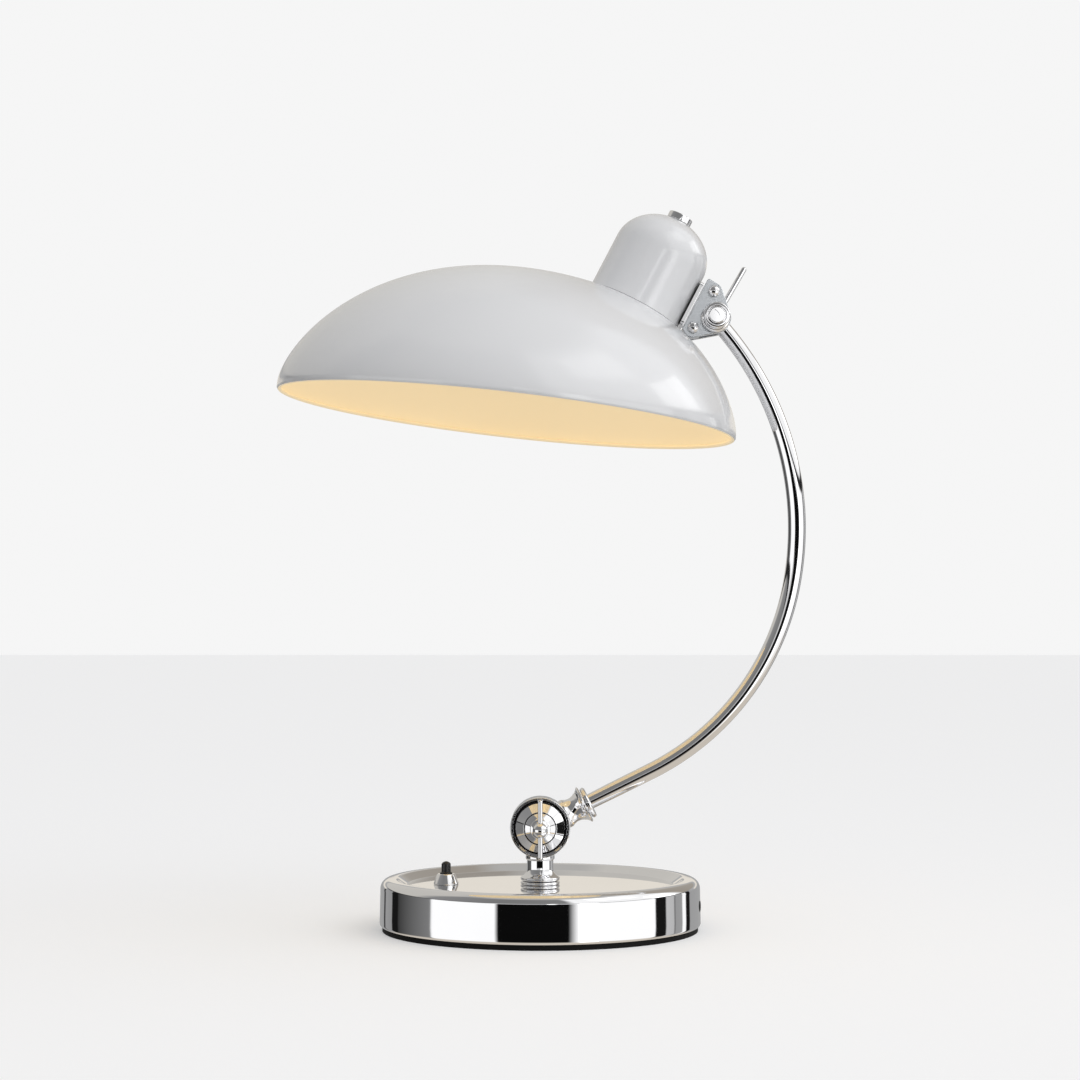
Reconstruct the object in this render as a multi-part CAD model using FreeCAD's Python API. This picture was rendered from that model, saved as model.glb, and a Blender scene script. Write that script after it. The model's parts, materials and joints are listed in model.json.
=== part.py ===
"""Dome shade desk lamp: a weighted round base, a turned stem, a bowed arm and a tilting dome shade.

Millimetres. The origin is the centre of the pad's underside, +Z is up, and the arm bows towards +X.
Everything from the neck upwards is drawn in the head's own frame: x runs from the neck's axis
towards the arm, z runs up the neck's axis, and y is the lamp's own y.
"""
import FreeCAD, Part
import math
import os

V = FreeCAD.Vector
Z_AXIS = V(0, 0, 1)
Y_AXIS = V(0, 1, 0)

# ---------------------------------------------------------------- clearances
running_gap = 0.06        # a turning piece on its pin, radially
seat_gap = 0.15           # fixed pieces that are pushed together
face_gap = 0.3            # faces that slide past each other

# ---------------------------------------------------------------- base
base_r = 98.3             # widest, just above the pad
base_draft = 0.4          # the side leans in by this much towards its top
base_crest_z = 31.5
base_shoulder_r = 5.5
base_brow_r = 40.0        # the shallow curve between the shoulder and the crest
base_curl_r = 2.2         # rounded bottom edge of the cover
base_wall = 1.2
base_lip = 2.7            # turned-in lip under the curl
dish_margin = 16.5        # the flat middle of the top ends this far inside the widest
dish_drop = 4.0           # the flat lies this far under the crest
dish_slope = 35.0         # degrees, the slope between the flat and the crest
crest_bend_r = 3.0
dish_bend_r = 1.0
pad_h = 2.8
pad_skin = 1.6            # rubber under the plate
pad_inset = 1.6           # the pad stands back from the side
plate_gap = 0.1
weight_h = 10.2
weight_gap = 0.4
weight_boss_r = 17.0

plate_screw_count = 3
plate_screw_ring_r = 62.0
plate_screw_r = 1.6
plate_screw_head_r = 3.2
plate_screw_length = 9.0

# ---------------------------------------------------------------- switch and cable inlet
switch_x = -57.8
switch_collar_r = 7.7
switch_collar_top_r = 5.5
switch_collar_h = 6.4
switch_bush_r = 4.9
switch_body_r = 10.0
switch_body_h = 16.5
switch_nut_h = 1.8
switch_nut_flats = 14.0
button_r = 2.86
button_rise = 7.6         # above the collar
button_dome_h = 1.6
button_travel = 3.0
button_rod_r = 1.4
sleeve_r = 3.85
sleeve_h = 1.2
cable_z = 15.6
cable_turn = -8.5         # degrees round the base from +X
cable_bore_r = 2.6
cable_hole_r = 3.4
cable_bush_lip = 0.35      # stands out from the cover by this much

# ---------------------------------------------------------------- stem
foot_bead_r = 12.1
foot_bead_h = 2.0
foot_neck_r = 11.2
foot_thread_r = 4.95
foot_pivot_r = 5.5
foot_pivot_top = 15.3     # above the dish
foot_bore_r = 3.2
foot_nut_flats = 15.0
foot_nut_h = 5.2
foot_washer_r = 12.0
foot_washer_h = 1.5
foot_groove_z = 10.5      # above the dish
foot_groove_h = 3.4
foot_groove_depth = 0.8
stem_bead_h = 2.6
stem_flare_h = 4.6
stem_r = 8.1
stem_ring_r = 8.9
stem_ring_z = 15.3        # above the dish
stem_ring_h = 2.5
grub_r = 1.5

# ---------------------------------------------------------------- hub
hub_z = 62.8
hub_r = 18.1
hub_ring_r = 18.4
hub_depth = 13.0          # each half, from the lamp's middle plane
hub_split = 0.35          # half the slot between the halves
hub_cup_r = 17.3
hub_floor_r = 16.6
hub_rim_round = 0.5
hub_cup_depth = 5.8
hub_round = 2.5
hub_recess_r = 9.0
hub_recess_depth = 3.0
hub_bolt_r = 4.0
hub_bolt_head_r = 8.0
friction_washer_r = 15.0
friction_washer_t = 0.6

clamp_base_r = 15.0
clamp_step_r = 9.8
clamp_step_h = 6.4        # above the cup's floor
clamp_boss_r = 9.2
clamp_boss_h = 3.4
clamp_waist_r = 6.2
clamp_neck_r = 3.4
clamp_bore_end = 19.5
tommy_z = 27.0            # in front of the middle plane
tommy_r = 1.45
tommy_length = 36.0
ball_r = 4.55
ball_z = 30.6

# ---------------------------------------------------------------- arm
arm_rise = 26.4           # degrees above level, where the arm leaves the hub
arm_straight = 76.0
arm_low_bend_r = 162.5
arm_low_bend = 51.8
arm_high_bend_r = 189.8
arm_high_bend = 54.5
tube_root_r = 4.6
tube_low_r = 5.0
tube_low_at = 60.0
tube_bow_r = 5.5
tube_bow_at = 265.0
tube_top_r = 4.95
tube_wall = 1.1
socket_depth = 11.0
collar_start = 12.0
collar_root_r = 8.9
collar_root_at = 18.6
collar_waist_r = 7.5
collar_waist_at = 22.6
collar_flange_r = 11.7
collar_end = 31.0
collar_nut_r = 9.85
collar_nut_h = 3.0
eye_r = 8.2
eye_half = 4.6
eye_stub = 11.0

# ---------------------------------------------------------------- head
head_tilt = 27.5          # the neck's axis leans towards +X
pivot_x = 48.2            # in the head's frame
pivot_z = 14.6
neck_r = 30.0
neck_wall = 1.0
neck_straight = 34.0
neck_dome_h = 24.9
neck_skirt = 14.0
nipple_r = 5.0
nipple_bore_r = 3.2
nipple_start = 40.0
knob_r = 7.85
knob_h = 4.2
knob_seat_r = 7.2

shade_wall = 1.0
shade_rim_r = 142.5
shade_rim_x = -39.1
shade_rim_z = -98.2
shade_rim_turn = 21.1     # degrees between the rim's plane and the neck's
shade_top_r = 23.6
shade_top_z = -0.5
shoulder_slope = 10.4
front_shoulder_reach = 139.6
back_shoulder_reach = 40.6
front_rim_reach = 24.9
front_rim_lean = 6.8
back_rim_reach = 12.1
back_rim_lean = -2.7
bead_r = 1.25
bead_inset = 1.45
shade_stations = 21

# ---------------------------------------------------------------- lampholder and bulb
cup_r = 22.8
cup_wall = 1.0
cup_top = 44.0
cup_flange_r = 27.5
cup_vent_count = 3
cup_vent_w = 16.0
cup_vent_low = 10.0
cup_vent_high = 34.0
nipple_nut_flats = 14.0
nipple_nut_h = 3.5
holder_r = 19.6
holder_wall = 1.8
holder_split = 27.0
holder_mouth = 1.0
holder_floor = 1.6
shell_r = 14.3
shell_wall = 0.6
contact_w = 5.0
contact_t = 0.8
bulb_cap_r = 13.3
bulb_cap_h = 20.0
bulb_tip_z = 23.0
bulb_ball_r = 22.5
bulb_ball_z = -27.0
bulb_neck_r = 12.6
bulb_wall = 1.0

# ---------------------------------------------------------------- bracket and upper pivot
strap_gap = 0.1
strap_t = 2.0
strap_half = 11.5
strap_low = 0.6
strap_high = 29.8
cheek_t = 2.0
lug_half = 4.9
bracket_back = 3.5        # the web ends this far before the pivot
screw_low_x = 38.5
screw_low_z = 2.7
screw_high_x = 39.6
screw_high_z = 28.7
cheek_low_r = 6.2
cheek_high_r = 5.3
cheek_eye_r = 9.6
cheek_corner_r = 1.5
cheek_corner_x = 34.3
cheek_corner_low = 0.0
cheek_corner_high = 33.0
bracket_screw_r = 2.0
bracket_head_r = 3.6
bracket_head_h = 3.2
neck_screw_r = 1.5
neck_screw_head_r = 3.2
neck_screw_low = 6.5
neck_screw_high = 24.5
pivot_bolt_r = 4.0
boss_r = 9.2
boss_waist_r = 7.2
boss_ring_r = 8.05
boss_h = 12.6
boss_recess_r = 5.7
boss_recess_depth = 1.2
pivot_head_r = 5.3
pivot_head_h = 2.2
slot_length = 7.4
slot_width = 2.6
slot_depth = 0.8
slot_turn = 52.5          # degrees from the neck's axis
lever_nut_h = 12.6
lever_pin_r = 1.65
lever_length = 40.5
lever_turn = 87.4         # degrees from the head's x towards its z
lever_pin_y = 8.0         # behind the rear cheek

# ---------------------------------------------------------------- derived places
dish_r = base_r - dish_margin
dish_z = base_crest_z - dish_drop
hub_centre = V(0, 0, hub_z)
cheek_face = lug_half + cheek_t


# ---------------------------------------------------------------- drawing helpers
def outline(start, *steps):
    """Closed wire in the xz plane. Two numbers draw a line, four an arc through its middle point."""
    edges = []
    here = V(start[0], 0, start[1])
    for step in steps + (start,):
        there = V(step[-2], 0, step[-1])
        if there.distanceToPoint(here) > 1e-6:
            if len(step) == 4:
                edges.append(Part.Arc(here, V(step[0], 0, step[1]), there).toShape())
            else:
                edges.append(Part.LineSegment(here, there).toShape())
        here = there
    return Part.Wire(edges)


def turned(start, *steps):
    """A piece turned about z from its half section."""
    return Part.Face(outline(start, *steps)).revolve(V(0, 0, 0), Z_AXIS, 360)


def rod(radius, low, high, x=0, y=0):
    return Part.makeCylinder(radius, high - low, V(x, y, low))


def round_rod(radius, low, high):
    """Rod on z with a ball end at the top."""
    return turned((0, low), (radius, low), (radius, high - radius), cap(radius, high - radius, high))


def tube(outer, inner, low, high, x=0, y=0):
    return rod(outer, low, high, x, y).cut(rod(inner, low, high, x, y))


def hexagon(flats, bore, low, high, x=0, y=0):
    corner_r = flats / 2 / math.cos(math.pi / 6)
    corners = [V(x + corner_r * math.cos(k * math.pi / 3), y + corner_r * math.sin(k * math.pi / 3), low)
               for k in range(7)]
    prism = Part.Face(Part.makePolygon(corners)).extrude(V(0, 0, high - low))
    return prism.cut(rod(bore, low - 1, high + 1, x, y))


def corner_arc(centre_r, centre_z, radius, from_deg, to_deg):
    """Middle and end point of a round corner, for outline()."""
    middle = math.radians((from_deg + to_deg) / 2)
    end = math.radians(to_deg)
    return (centre_r + radius * math.cos(middle), centre_z + radius * math.sin(middle),
            centre_r + radius * math.cos(end), centre_z + radius * math.sin(end))


def cap(radius, low, high):
    """Middle and end point of a domed end that rises from its rim to the axis, for outline()."""
    rise = high - low
    ball = (rise ** 2 + radius ** 2) / (2 * rise)
    half = math.atan(rise / radius)
    return (ball * math.sin(half), high - ball + ball * math.cos(half), 0, high)


def belt(circles):
    """Outline of a band pulled round circles (x, z, r), given clockwise seen along +y."""
    count = len(circles)
    leave = []
    arrive = []
    for k in range(count):
        x1, z1, r1 = circles[k]
        x2, z2, r2 = circles[(k + 1) % count]
        run = math.hypot(x2 - x1, z2 - z1)
        heading = math.atan2(z2 - z1, x2 - x1)
        side = heading + math.acos((r1 - r2) / run)
        leave.append((x1 + r1 * math.cos(side), z1 + r1 * math.sin(side), side))
        arrive.append((x2 + r2 * math.cos(side), z2 + r2 * math.sin(side), side))
    edges = []
    for k in range(count):
        x, z, radius = circles[k]
        start = arrive[k - 1]
        end = leave[k]
        sweep = (start[2] - end[2]) % (2 * math.pi)
        middle = start[2] - sweep / 2
        edges.append(Part.Arc(V(start[0], 0, start[1]),
                              V(x + radius * math.cos(middle), 0, z + radius * math.sin(middle)),
                              V(end[0], 0, end[1])).toShape())
        following = arrive[k]
        edges.append(Part.LineSegment(V(end[0], 0, end[1]), V(following[0], 0, following[1])).toShape())
    return Part.Wire(edges)


def slab(wire, low_y, high_y):
    """A flat outline in the xz plane, given its thickness along y."""
    return Part.Face(wire).extrude(V(0, high_y - low_y, 0)).translated(V(0, low_y, 0))


def moved(shape, placement):
    copy = shape.copy()
    copy.Placement = placement.multiply(copy.Placement)
    return copy


def facing_front(shape, centre):
    """Turn a piece that was made standing on z so that it stands out towards -y."""
    return moved(shape, FreeCAD.Placement(centre, FreeCAD.Rotation(V(1, 0, 0), 90)))


def facing_back(shape, centre):
    """Turn a piece that was made standing on z so that it stands out towards +y."""
    return moved(shape, FreeCAD.Placement(centre, FreeCAD.Rotation(V(1, 0, 0), -90)))


def along_y(radius, low_y, high_y, centre):
    return Part.makeCylinder(radius, high_y - low_y, V(centre.x, low_y, centre.z), Y_AXIS)


def hoop(centre, axis, start, radius):
    """Circle as a wire, its seam lying the given way from the centre."""
    circle = Part.Circle(centre, axis, radius)
    circle.XAxis = start
    return Part.Wire(circle.toShape())


def fused(shapes):
    whole = shapes[0]
    for other in shapes[1:]:
        whole = whole.fuse(other)
    return whole.removeSplitter()


# ---------------------------------------------------------------- the arm's line
def arm_direction(degrees):
    return V(math.cos(math.radians(degrees)), 0, math.sin(math.radians(degrees)))


def arm_length():
    return (arm_straight + arm_low_bend_r * math.radians(arm_low_bend)
            + arm_high_bend_r * math.radians(arm_high_bend))


def arm_point(run):
    """Place and heading of the arm's centre line, a given way along it from the hub's axis."""
    here = hub_centre + arm_direction(arm_rise) * min(run, arm_straight)
    heading = arm_rise
    left = run - arm_straight
    for radius, turn in ((arm_low_bend_r, arm_low_bend), (arm_high_bend_r, arm_high_bend)):
        if left > 0:
            part = min(turn, math.degrees(left / radius))
            centre = here + arm_direction(heading + 90) * radius
            heading += part
            here = centre - arm_direction(heading + 90) * radius
            left -= math.radians(turn) * radius
    return here, heading


pivot = arm_point(arm_length())[0]


def in_head(shape):
    """Place a piece drawn in the head's frame."""
    turn = FreeCAD.Rotation(Y_AXIS, head_tilt)
    origin = pivot - turn.multVec(V(pivot_x, 0, pivot_z))
    return moved(shape, FreeCAD.Placement(origin, turn))


eye_centre = V(pivot_x, 0, pivot_z)


# ---------------------------------------------------------------- base pieces
def crest_r():
    """Radius of the crest, from the flat outwards over the slope and its two bends."""
    slope = math.radians(dish_slope)
    bends = crest_bend_r + dish_bend_r
    straight = (dish_drop - bends * (1 - math.cos(slope))) / math.tan(slope)
    return dish_r + straight + bends * math.sin(slope)


def cover_skin(inset, floor_r, floor_z):
    """Turned body of the base cover: a dished top, a rounded shoulder and a curled lower edge."""
    side_r = base_r - inset
    curl = base_curl_r - inset
    corner_r = base_r - base_draft - base_shoulder_r
    lean = math.acos((corner_r - crest_r()) / (base_brow_r - base_shoulder_r))
    corner_z = base_crest_z - base_brow_r + (base_brow_r - base_shoulder_r) * math.sin(lean)
    slope = math.radians(dish_slope)
    bend = dish_bend_r + inset
    return turned(
        (0, floor_z),
        (floor_r, floor_z),
        (floor_r, pad_h + inset),
        (side_r - curl, pad_h + inset),
        corner_arc(side_r - curl, pad_h + base_curl_r, curl, -90, 0),
        (side_r - base_draft, corner_z),
        corner_arc(corner_r, corner_z, base_shoulder_r - inset, 0, math.degrees(lean)),
        corner_arc(crest_r(), base_crest_z - base_brow_r, base_brow_r - inset, math.degrees(lean), 90),
        corner_arc(crest_r(), base_crest_z - crest_bend_r, crest_bend_r - inset, 90, 90 + dish_slope),
        (dish_r + bend * math.sin(slope), dish_z + dish_bend_r - bend * math.cos(slope)),
        corner_arc(dish_r, dish_z + dish_bend_r, bend, dish_slope - 90, -90),
        (0, dish_z - inset))


def cable_inlet(shape):
    """Place a piece made along z in the inlet in the side of the base, its foot on the base's axis."""
    turn = FreeCAD.Rotation(Z_AXIS, cable_turn).multiply(FreeCAD.Rotation(Y_AXIS, 90))
    return moved(shape, FreeCAD.Placement(V(0, 0, cable_z), turn))


def base_cover():
    lip_r = base_r - base_curl_r - base_lip
    shell = cover_skin(0, base_r - base_curl_r, pad_h).cut(cover_skin(base_wall, lip_r, 0))
    shell = shell.cut(rod(foot_thread_r + seat_gap, dish_z - 3, dish_z + 1))
    shell = shell.cut(rod(switch_bush_r + seat_gap, dish_z - 3, dish_z + 1, switch_x))
    return shell.cut(cable_inlet(rod(cable_hole_r, base_r - 3 * base_lip, base_r + base_lip)))


def plate_r():
    return base_r - base_curl_r - 1.1


def screw_places(count, ring_r):
    for k in range(count):
        angle = math.radians(90 + 360 * k / count)
        yield ring_r * math.cos(angle), ring_r * math.sin(angle)


def plate_screw(grow):
    """Countersunk screw standing head down on z = 0."""
    head_h = pad_h - pad_skin
    return turned((0, 0), (plate_screw_head_r + grow, 0), (plate_screw_r + grow, head_h),
                  (plate_screw_r + grow, plate_screw_length), (0, plate_screw_length))


def at_plate_screws(shape):
    places = screw_places(plate_screw_count, plate_screw_ring_r)
    return [shape.translated(V(x, y, pad_skin)) for x, y in places]


def base_pad():
    pad_r = base_r - pad_inset
    return turned((0, 0), (pad_r, 0), (pad_r, pad_h), (plate_r() + plate_gap, pad_h),
                  (plate_r() + plate_gap, pad_skin), (0, pad_skin))


def base_plate():
    plate = rod(plate_r(), pad_skin, pad_h)
    for screw in at_plate_screws(plate_screw(plate_gap)):
        plate = plate.cut(screw)
    return plate


def base_weight():
    weight_r = base_r - base_curl_r - base_lip - weight_gap
    top = pad_h + weight_h
    boss_top = dish_z - base_wall
    well_top = pad_h + foot_nut_h + foot_washer_h + 2
    iron = turned((0, pad_h), (weight_r, pad_h), (weight_r, top - 2), (weight_r - 2, top),
                  (weight_boss_r + 3, top), (weight_boss_r, top + 3), (weight_boss_r, boss_top),
                  (0, boss_top))
    iron = iron.cut(rod(foot_thread_r + seat_gap, 0, boss_top + 1))
    iron = iron.cut(rod(foot_washer_r + 1.5, 0, well_top))
    iron = iron.cut(rod(switch_body_r + 2, 0, boss_top + 1, switch_x))
    for screw in at_plate_screws(plate_screw(plate_gap)):
        iron = iron.cut(screw)
    return iron


def plate_screws():
    return Part.makeCompound(at_plate_screws(plate_screw(0)))


def cable_bush():
    wall_r = base_r - base_draft / 2
    shoulder = wall_r - base_wall - 0.3
    face = wall_r + cable_bush_lip
    outer = cable_hole_r - plate_gap
    bush = turned((cable_bore_r, wall_r - 5), (cable_hole_r + 0.9, wall_r - 5),
                  (cable_hole_r + 0.9, shoulder), (outer, shoulder), (outer, face - 0.2),
                  (outer - 0.2, face), (cable_bore_r, face))
    return cable_inlet(bush)


# ---------------------------------------------------------------- switch pieces
def collar_top():
    return dish_z + switch_collar_h


def at_switch(shape):
    return shape.translated(V(switch_x, 0, 0))


def switch_collar():
    bore = switch_bush_r + plate_gap
    top = collar_top()
    return at_switch(turned((bore, dish_z), (switch_collar_r - 0.3, dish_z), (switch_collar_r, dish_z + 0.5),
                            (switch_collar_top_r + 0.2, top - 0.5), (switch_collar_top_r - 0.3, top),
                            (button_r + 0.4, top), (button_r + 0.4, top - 0.8), (bore, top - 0.8)))


def switch_sleeve():
    low = collar_top()
    bore = button_r + running_gap
    return at_switch(turned((bore, low), (sleeve_r, low), (sleeve_r, low + 0.4),
                            (bore + 0.45, low + 0.6, bore + 0.3, low + sleeve_h), (bore, low + sleeve_h)))


def switch_body():
    neck_top = collar_top() - 0.9
    shelf = dish_z - base_wall - switch_nut_h
    floor = shelf - switch_body_h
    shell = turned((0, floor), (switch_body_r - 0.8, floor), (switch_body_r, floor + 0.8),
                   (switch_body_r, shelf - 0.8), (switch_body_r - 0.8, shelf), (switch_bush_r, shelf),
                   (switch_bush_r, neck_top), (0, neck_top))
    guide = rod(button_r + running_gap, plunger_foot() - button_travel - 1, neck_top + 1)
    well = rod(button_rod_r + running_gap, rod_foot() - button_travel - 1, neck_top)
    return at_switch(shell.cut(guide).cut(well))


def plunger_foot():
    return dish_z + 2.0


def rod_foot():
    return dish_z - base_wall - switch_nut_h - switch_body_h / 2


def switch_button():
    top = collar_top() + button_rise
    return at_switch(turned((0, rod_foot()), (button_rod_r, rod_foot()), (button_rod_r, plunger_foot()),
                            (button_r, plunger_foot()), (button_r, top - button_dome_h),
                            cap(button_r, top - button_dome_h, top)))


def switch_nut():
    top = dish_z - base_wall
    return hexagon(switch_nut_flats, switch_bush_r + plate_gap, top - switch_nut_h, top, switch_x)


# ---------------------------------------------------------------- stem pieces
def stem_foot():
    low = pad_h + 1.4
    bead_top = dish_z + foot_bead_h
    groove_r = foot_pivot_r - foot_groove_depth
    groove = dish_z + foot_groove_z
    top = dish_z + foot_pivot_top
    body = turned((0, low), (foot_thread_r - 0.6, low), (foot_thread_r, low + 0.6), (foot_thread_r, dish_z),
                  (foot_neck_r, dish_z), (foot_bead_r, dish_z + foot_bead_h / 2, foot_neck_r, bead_top),
                  (foot_pivot_r, bead_top), (foot_pivot_r, groove), (groove_r, groove),
                  (groove_r, groove + foot_groove_h), (foot_pivot_r, groove + foot_groove_h),
                  (foot_pivot_r, top - 0.6), (foot_pivot_r - 0.6, top), (0, top))
    return body.cut(rod(foot_bore_r, low - 1, top + 1))


def well_ceiling():
    return pad_h + foot_nut_h + foot_washer_h + 2


def foot_washer():
    return tube(foot_washer_r, foot_thread_r + plate_gap, well_ceiling() - foot_washer_h, well_ceiling())


def foot_nut():
    top = well_ceiling() - foot_washer_h
    return hexagon(foot_nut_flats, foot_thread_r + plate_gap, top - foot_nut_h, top)


def hub_profile_back():
    """Half section of the rear hub half, standing on z with its friction face down."""
    floor = hub_depth - hub_recess_depth
    return turned((0, hub_split), (hub_r, hub_split), (hub_r, hub_depth - hub_round),
                  corner_arc(hub_r - hub_round, hub_depth - hub_round, hub_round, 0, 90),
                  (hub_recess_r, hub_depth), (hub_recess_r, floor), (0, floor))


def stem():
    bead_low = dish_z + foot_bead_h + face_gap
    bead_top = bead_low + stem_bead_h
    flare_top = bead_top + stem_flare_h
    ring_low = dish_z + stem_ring_z
    ring_top = ring_low + stem_ring_h
    lower = turned((0, bead_low), (foot_neck_r, bead_low),
                   (foot_bead_r, bead_low + stem_bead_h / 2, foot_neck_r, bead_top),
                   (stem_r + 1.0, bead_top + stem_flare_h * 0.45, stem_r, flare_top),
                   (stem_r, ring_low - 0.4), (stem_ring_r - 0.3, ring_low), (stem_ring_r, ring_low + 0.5),
                   (stem_ring_r, ring_top), (stem_r, ring_top), (stem_r, hub_z - hub_r / 2),
                   (0, hub_z - hub_r / 2))
    room = along_y(hub_ring_r + face_gap, -hub_depth * 2, hub_split, hub_centre)
    whole = fused([lower.cut(room), facing_back(hub_profile_back(), hub_centre)])
    whole = whole.cut(rod(foot_pivot_r + running_gap, bead_low - 1, dish_z + foot_pivot_top + face_gap))
    whole = whole.cut(along_y(hub_bolt_r + running_gap, -1, hub_depth + 1, hub_centre))
    return whole.cut(grub_rod(grub_r + plate_gap, stem_r + 1))


def grub_rod(radius, end_y):
    """The set screw's own cylinder, from the foot's groove out through the back of the stem."""
    tip = foot_pivot_r - foot_groove_depth + face_gap
    height = dish_z + foot_groove_z + foot_groove_h / 2
    return along_y(radius, tip, end_y, V(0, 0, height))


def stem_grub_screw():
    flush = stem_r - 0.3
    key = grub_rod(0.8, flush + 1).cut(grub_rod(grub_r, flush - 1.4))
    return grub_rod(grub_r, flush).cut(key)


def hub_bolt():
    """Round-headed bolt through both hub halves, its head in the rear recess."""
    floor = hub_depth - hub_recess_depth
    head_h = hub_recess_depth + 0.6
    front_end = clamp_bore_end - 0.3
    head = turned((0, floor), (hub_bolt_head_r, floor), (hub_bolt_head_r, floor + head_h - 1.6),
                  (hub_bolt_head_r - 1.0, floor + head_h - 0.5, hub_bolt_head_r - 3.2, floor + head_h),
                  (0, floor + head_h))
    slot = Part.makeBox(hub_bolt_head_r * 3, 1.6, 1.2, V(-hub_bolt_head_r * 1.5, -0.8, floor + head_h - 1.0))
    head = facing_back(head.cut(slot), hub_centre)
    return head.fuse(along_y(hub_bolt_r, -front_end, floor, hub_centre)).removeSplitter()


def friction_washer():
    ring = along_y(friction_washer_r, hub_split - friction_washer_t, hub_split, hub_centre)
    return ring.cut(along_y(hub_bolt_r + plate_gap, -1, 1, hub_centre))


# ---------------------------------------------------------------- arm pieces
def along_arm(shape, run=0.0):
    """Lay a piece made on z along the arm's straight root, its foot a given way from the hub's axis."""
    turn = FreeCAD.Rotation(Y_AXIS, 90 - arm_rise)
    return moved(shape, FreeCAD.Placement(hub_centre + arm_direction(arm_rise) * run, turn))


def arm_hub():
    floor = hub_depth - hub_cup_depth
    drum = turned((0, hub_split), (hub_r, hub_split), (hub_r, hub_depth - 2.6),
                  (hub_ring_r, hub_depth - 2.2), (hub_ring_r, hub_depth - hub_rim_round),
                  corner_arc(hub_ring_r - hub_rim_round, hub_depth - hub_rim_round, hub_rim_round, 0, 90),
                  (hub_cup_r + 0.2, hub_depth), (hub_cup_r, hub_depth - 0.2), (hub_floor_r, floor),
                  (0, floor))
    drum = facing_front(drum, hub_centre)
    collar = along_arm(turned(
        (0, collar_start), (collar_root_r, collar_start), (collar_root_r, collar_root_at),
        (collar_waist_r, collar_waist_at, collar_waist_r + 1.2, collar_waist_at + 4.2),
        (collar_flange_r - 1.9, collar_end - 2.4, collar_flange_r - 0.2, collar_end - 1.2),
        (collar_flange_r, collar_end - 0.5), (collar_flange_r - 0.9, collar_end), (0, collar_end)))
    room = along_y(hub_r + face_gap, -hub_split, hub_depth * 2, hub_centre)
    cup = turned((0, floor), (hub_floor_r, floor), (hub_cup_r, hub_depth + 4), (0, hub_depth + 4))
    cup = facing_front(cup, hub_centre)
    whole = fused([drum, collar.cut(room).cut(cup)])
    socket = along_arm(rod(tube_root_r + plate_gap, collar_end - socket_depth, collar_end + 1))
    return whole.cut(socket).cut(along_y(hub_bolt_r + plate_gap, -hub_depth, 0, hub_centre))


def collar_nut():
    low = collar_end + 0.4
    high = low + collar_nut_h
    ring = turned((tube_root_r + plate_gap, low), (collar_nut_r - 0.9, low), (collar_nut_r, low + 0.9),
                  (collar_nut_r, high - 1.2), (collar_nut_r - 0.4, high - 0.4, collar_nut_r - 1.3, high),
                  (tube_root_r + 0.8, high), (tube_root_r + plate_gap, high - 0.6))
    return along_arm(ring)


def tube_radius(run):
    """The tube swells from the collar to the middle of the bow and draws in again at its end."""
    places = (collar_end, tube_low_at, tube_bow_at, arm_length())
    sizes = (tube_root_r, tube_low_r, tube_bow_r, tube_top_r)
    for k in range(3):
        if run <= places[k + 1]:
            share = max(0.0, (run - places[k]) / (places[k + 1] - places[k]))
            return sizes[k] + (sizes[k + 1] - sizes[k]) * share
    return tube_top_r


def arm_skin(inset, start, end, stations):
    """Loft through circles set square to the arm's line."""
    wires = []
    for k in range(stations):
        run = start + (end - start) * k / (stations - 1)
        centre, heading = arm_point(run)
        wires.append(hoop(centre, arm_direction(heading), Y_AXIS, tube_radius(run) - inset))
    return Part.makeLoft(wires, True, False)


def arm_tube():
    start = collar_end - socket_depth + plate_gap
    length = arm_length()
    straight = along_arm(rod(tube_root_r, start, collar_end + collar_nut_h + 0.4))
    outer = arm_skin(0, collar_end + collar_nut_h + 0.4, length, 21)
    hollow = arm_skin(tube_wall, start - 1, length, 22)
    saddle = along_y(eye_r + plate_gap, -eye_r * 2, eye_r * 2, pivot)
    front_room = along_y(cheek_eye_r + face_gap, -eye_r * 2, -eye_half, pivot)
    rear_room = along_y(cheek_eye_r + face_gap, eye_half, eye_r * 2, pivot)
    return outer.fuse(straight).cut(hollow).cut(saddle).cut(front_room).cut(rear_room)


def arm_eye():
    """Flat eye with a stub that goes up inside the tube's end."""
    length = arm_length()
    stub_r = tube_radius(length) - tube_wall - plate_gap
    end = arm_point(length - eye_r - eye_stub)[0]
    way = pivot - end
    stub = Part.makeCylinder(stub_r - 0.25, way.Length, end, way)
    barrel = along_y(eye_r, -eye_half, eye_half, pivot)
    whole = fused([barrel, stub])
    return whole.cut(along_y(pivot_bolt_r + running_gap, -eye_half - 1, eye_half + 1, pivot))


# ---------------------------------------------------------------- clamp pieces
def clamp_knob():
    floor = hub_depth - hub_cup_depth + face_gap
    step = floor + clamp_step_h
    boss = step + clamp_boss_h
    neck = tommy_z - tommy_r - 1.6
    join = ball_z - math.sqrt(ball_r ** 2 - clamp_neck_r ** 2)
    knob = turned((0, floor), (clamp_base_r - 0.4, floor), (clamp_base_r, floor + 0.4),
                  (clamp_base_r, floor + 0.9), (clamp_base_r - 0.5, floor + 1.4),
                  (clamp_step_r + 0.3, step), (clamp_boss_r, step), (clamp_boss_r, step + 0.5),
                  (clamp_waist_r + 0.5, boss), (clamp_waist_r, boss + 0.3),
                  (clamp_waist_r - 0.4, boss + 2.8),
                  (clamp_neck_r + 0.7, neck - 2.0, clamp_neck_r, neck), (clamp_neck_r, join),
                  (ball_r, ball_z, 0, ball_z + ball_r))
    knob = knob.cut(rod(hub_bolt_r + running_gap, floor - 1, clamp_bore_end))
    hole = Part.makeCylinder(tommy_r + plate_gap / 2, tommy_length, V(0, -tommy_length / 2, tommy_z), Y_AXIS)
    return facing_front(knob.cut(hole), hub_centre)


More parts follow.
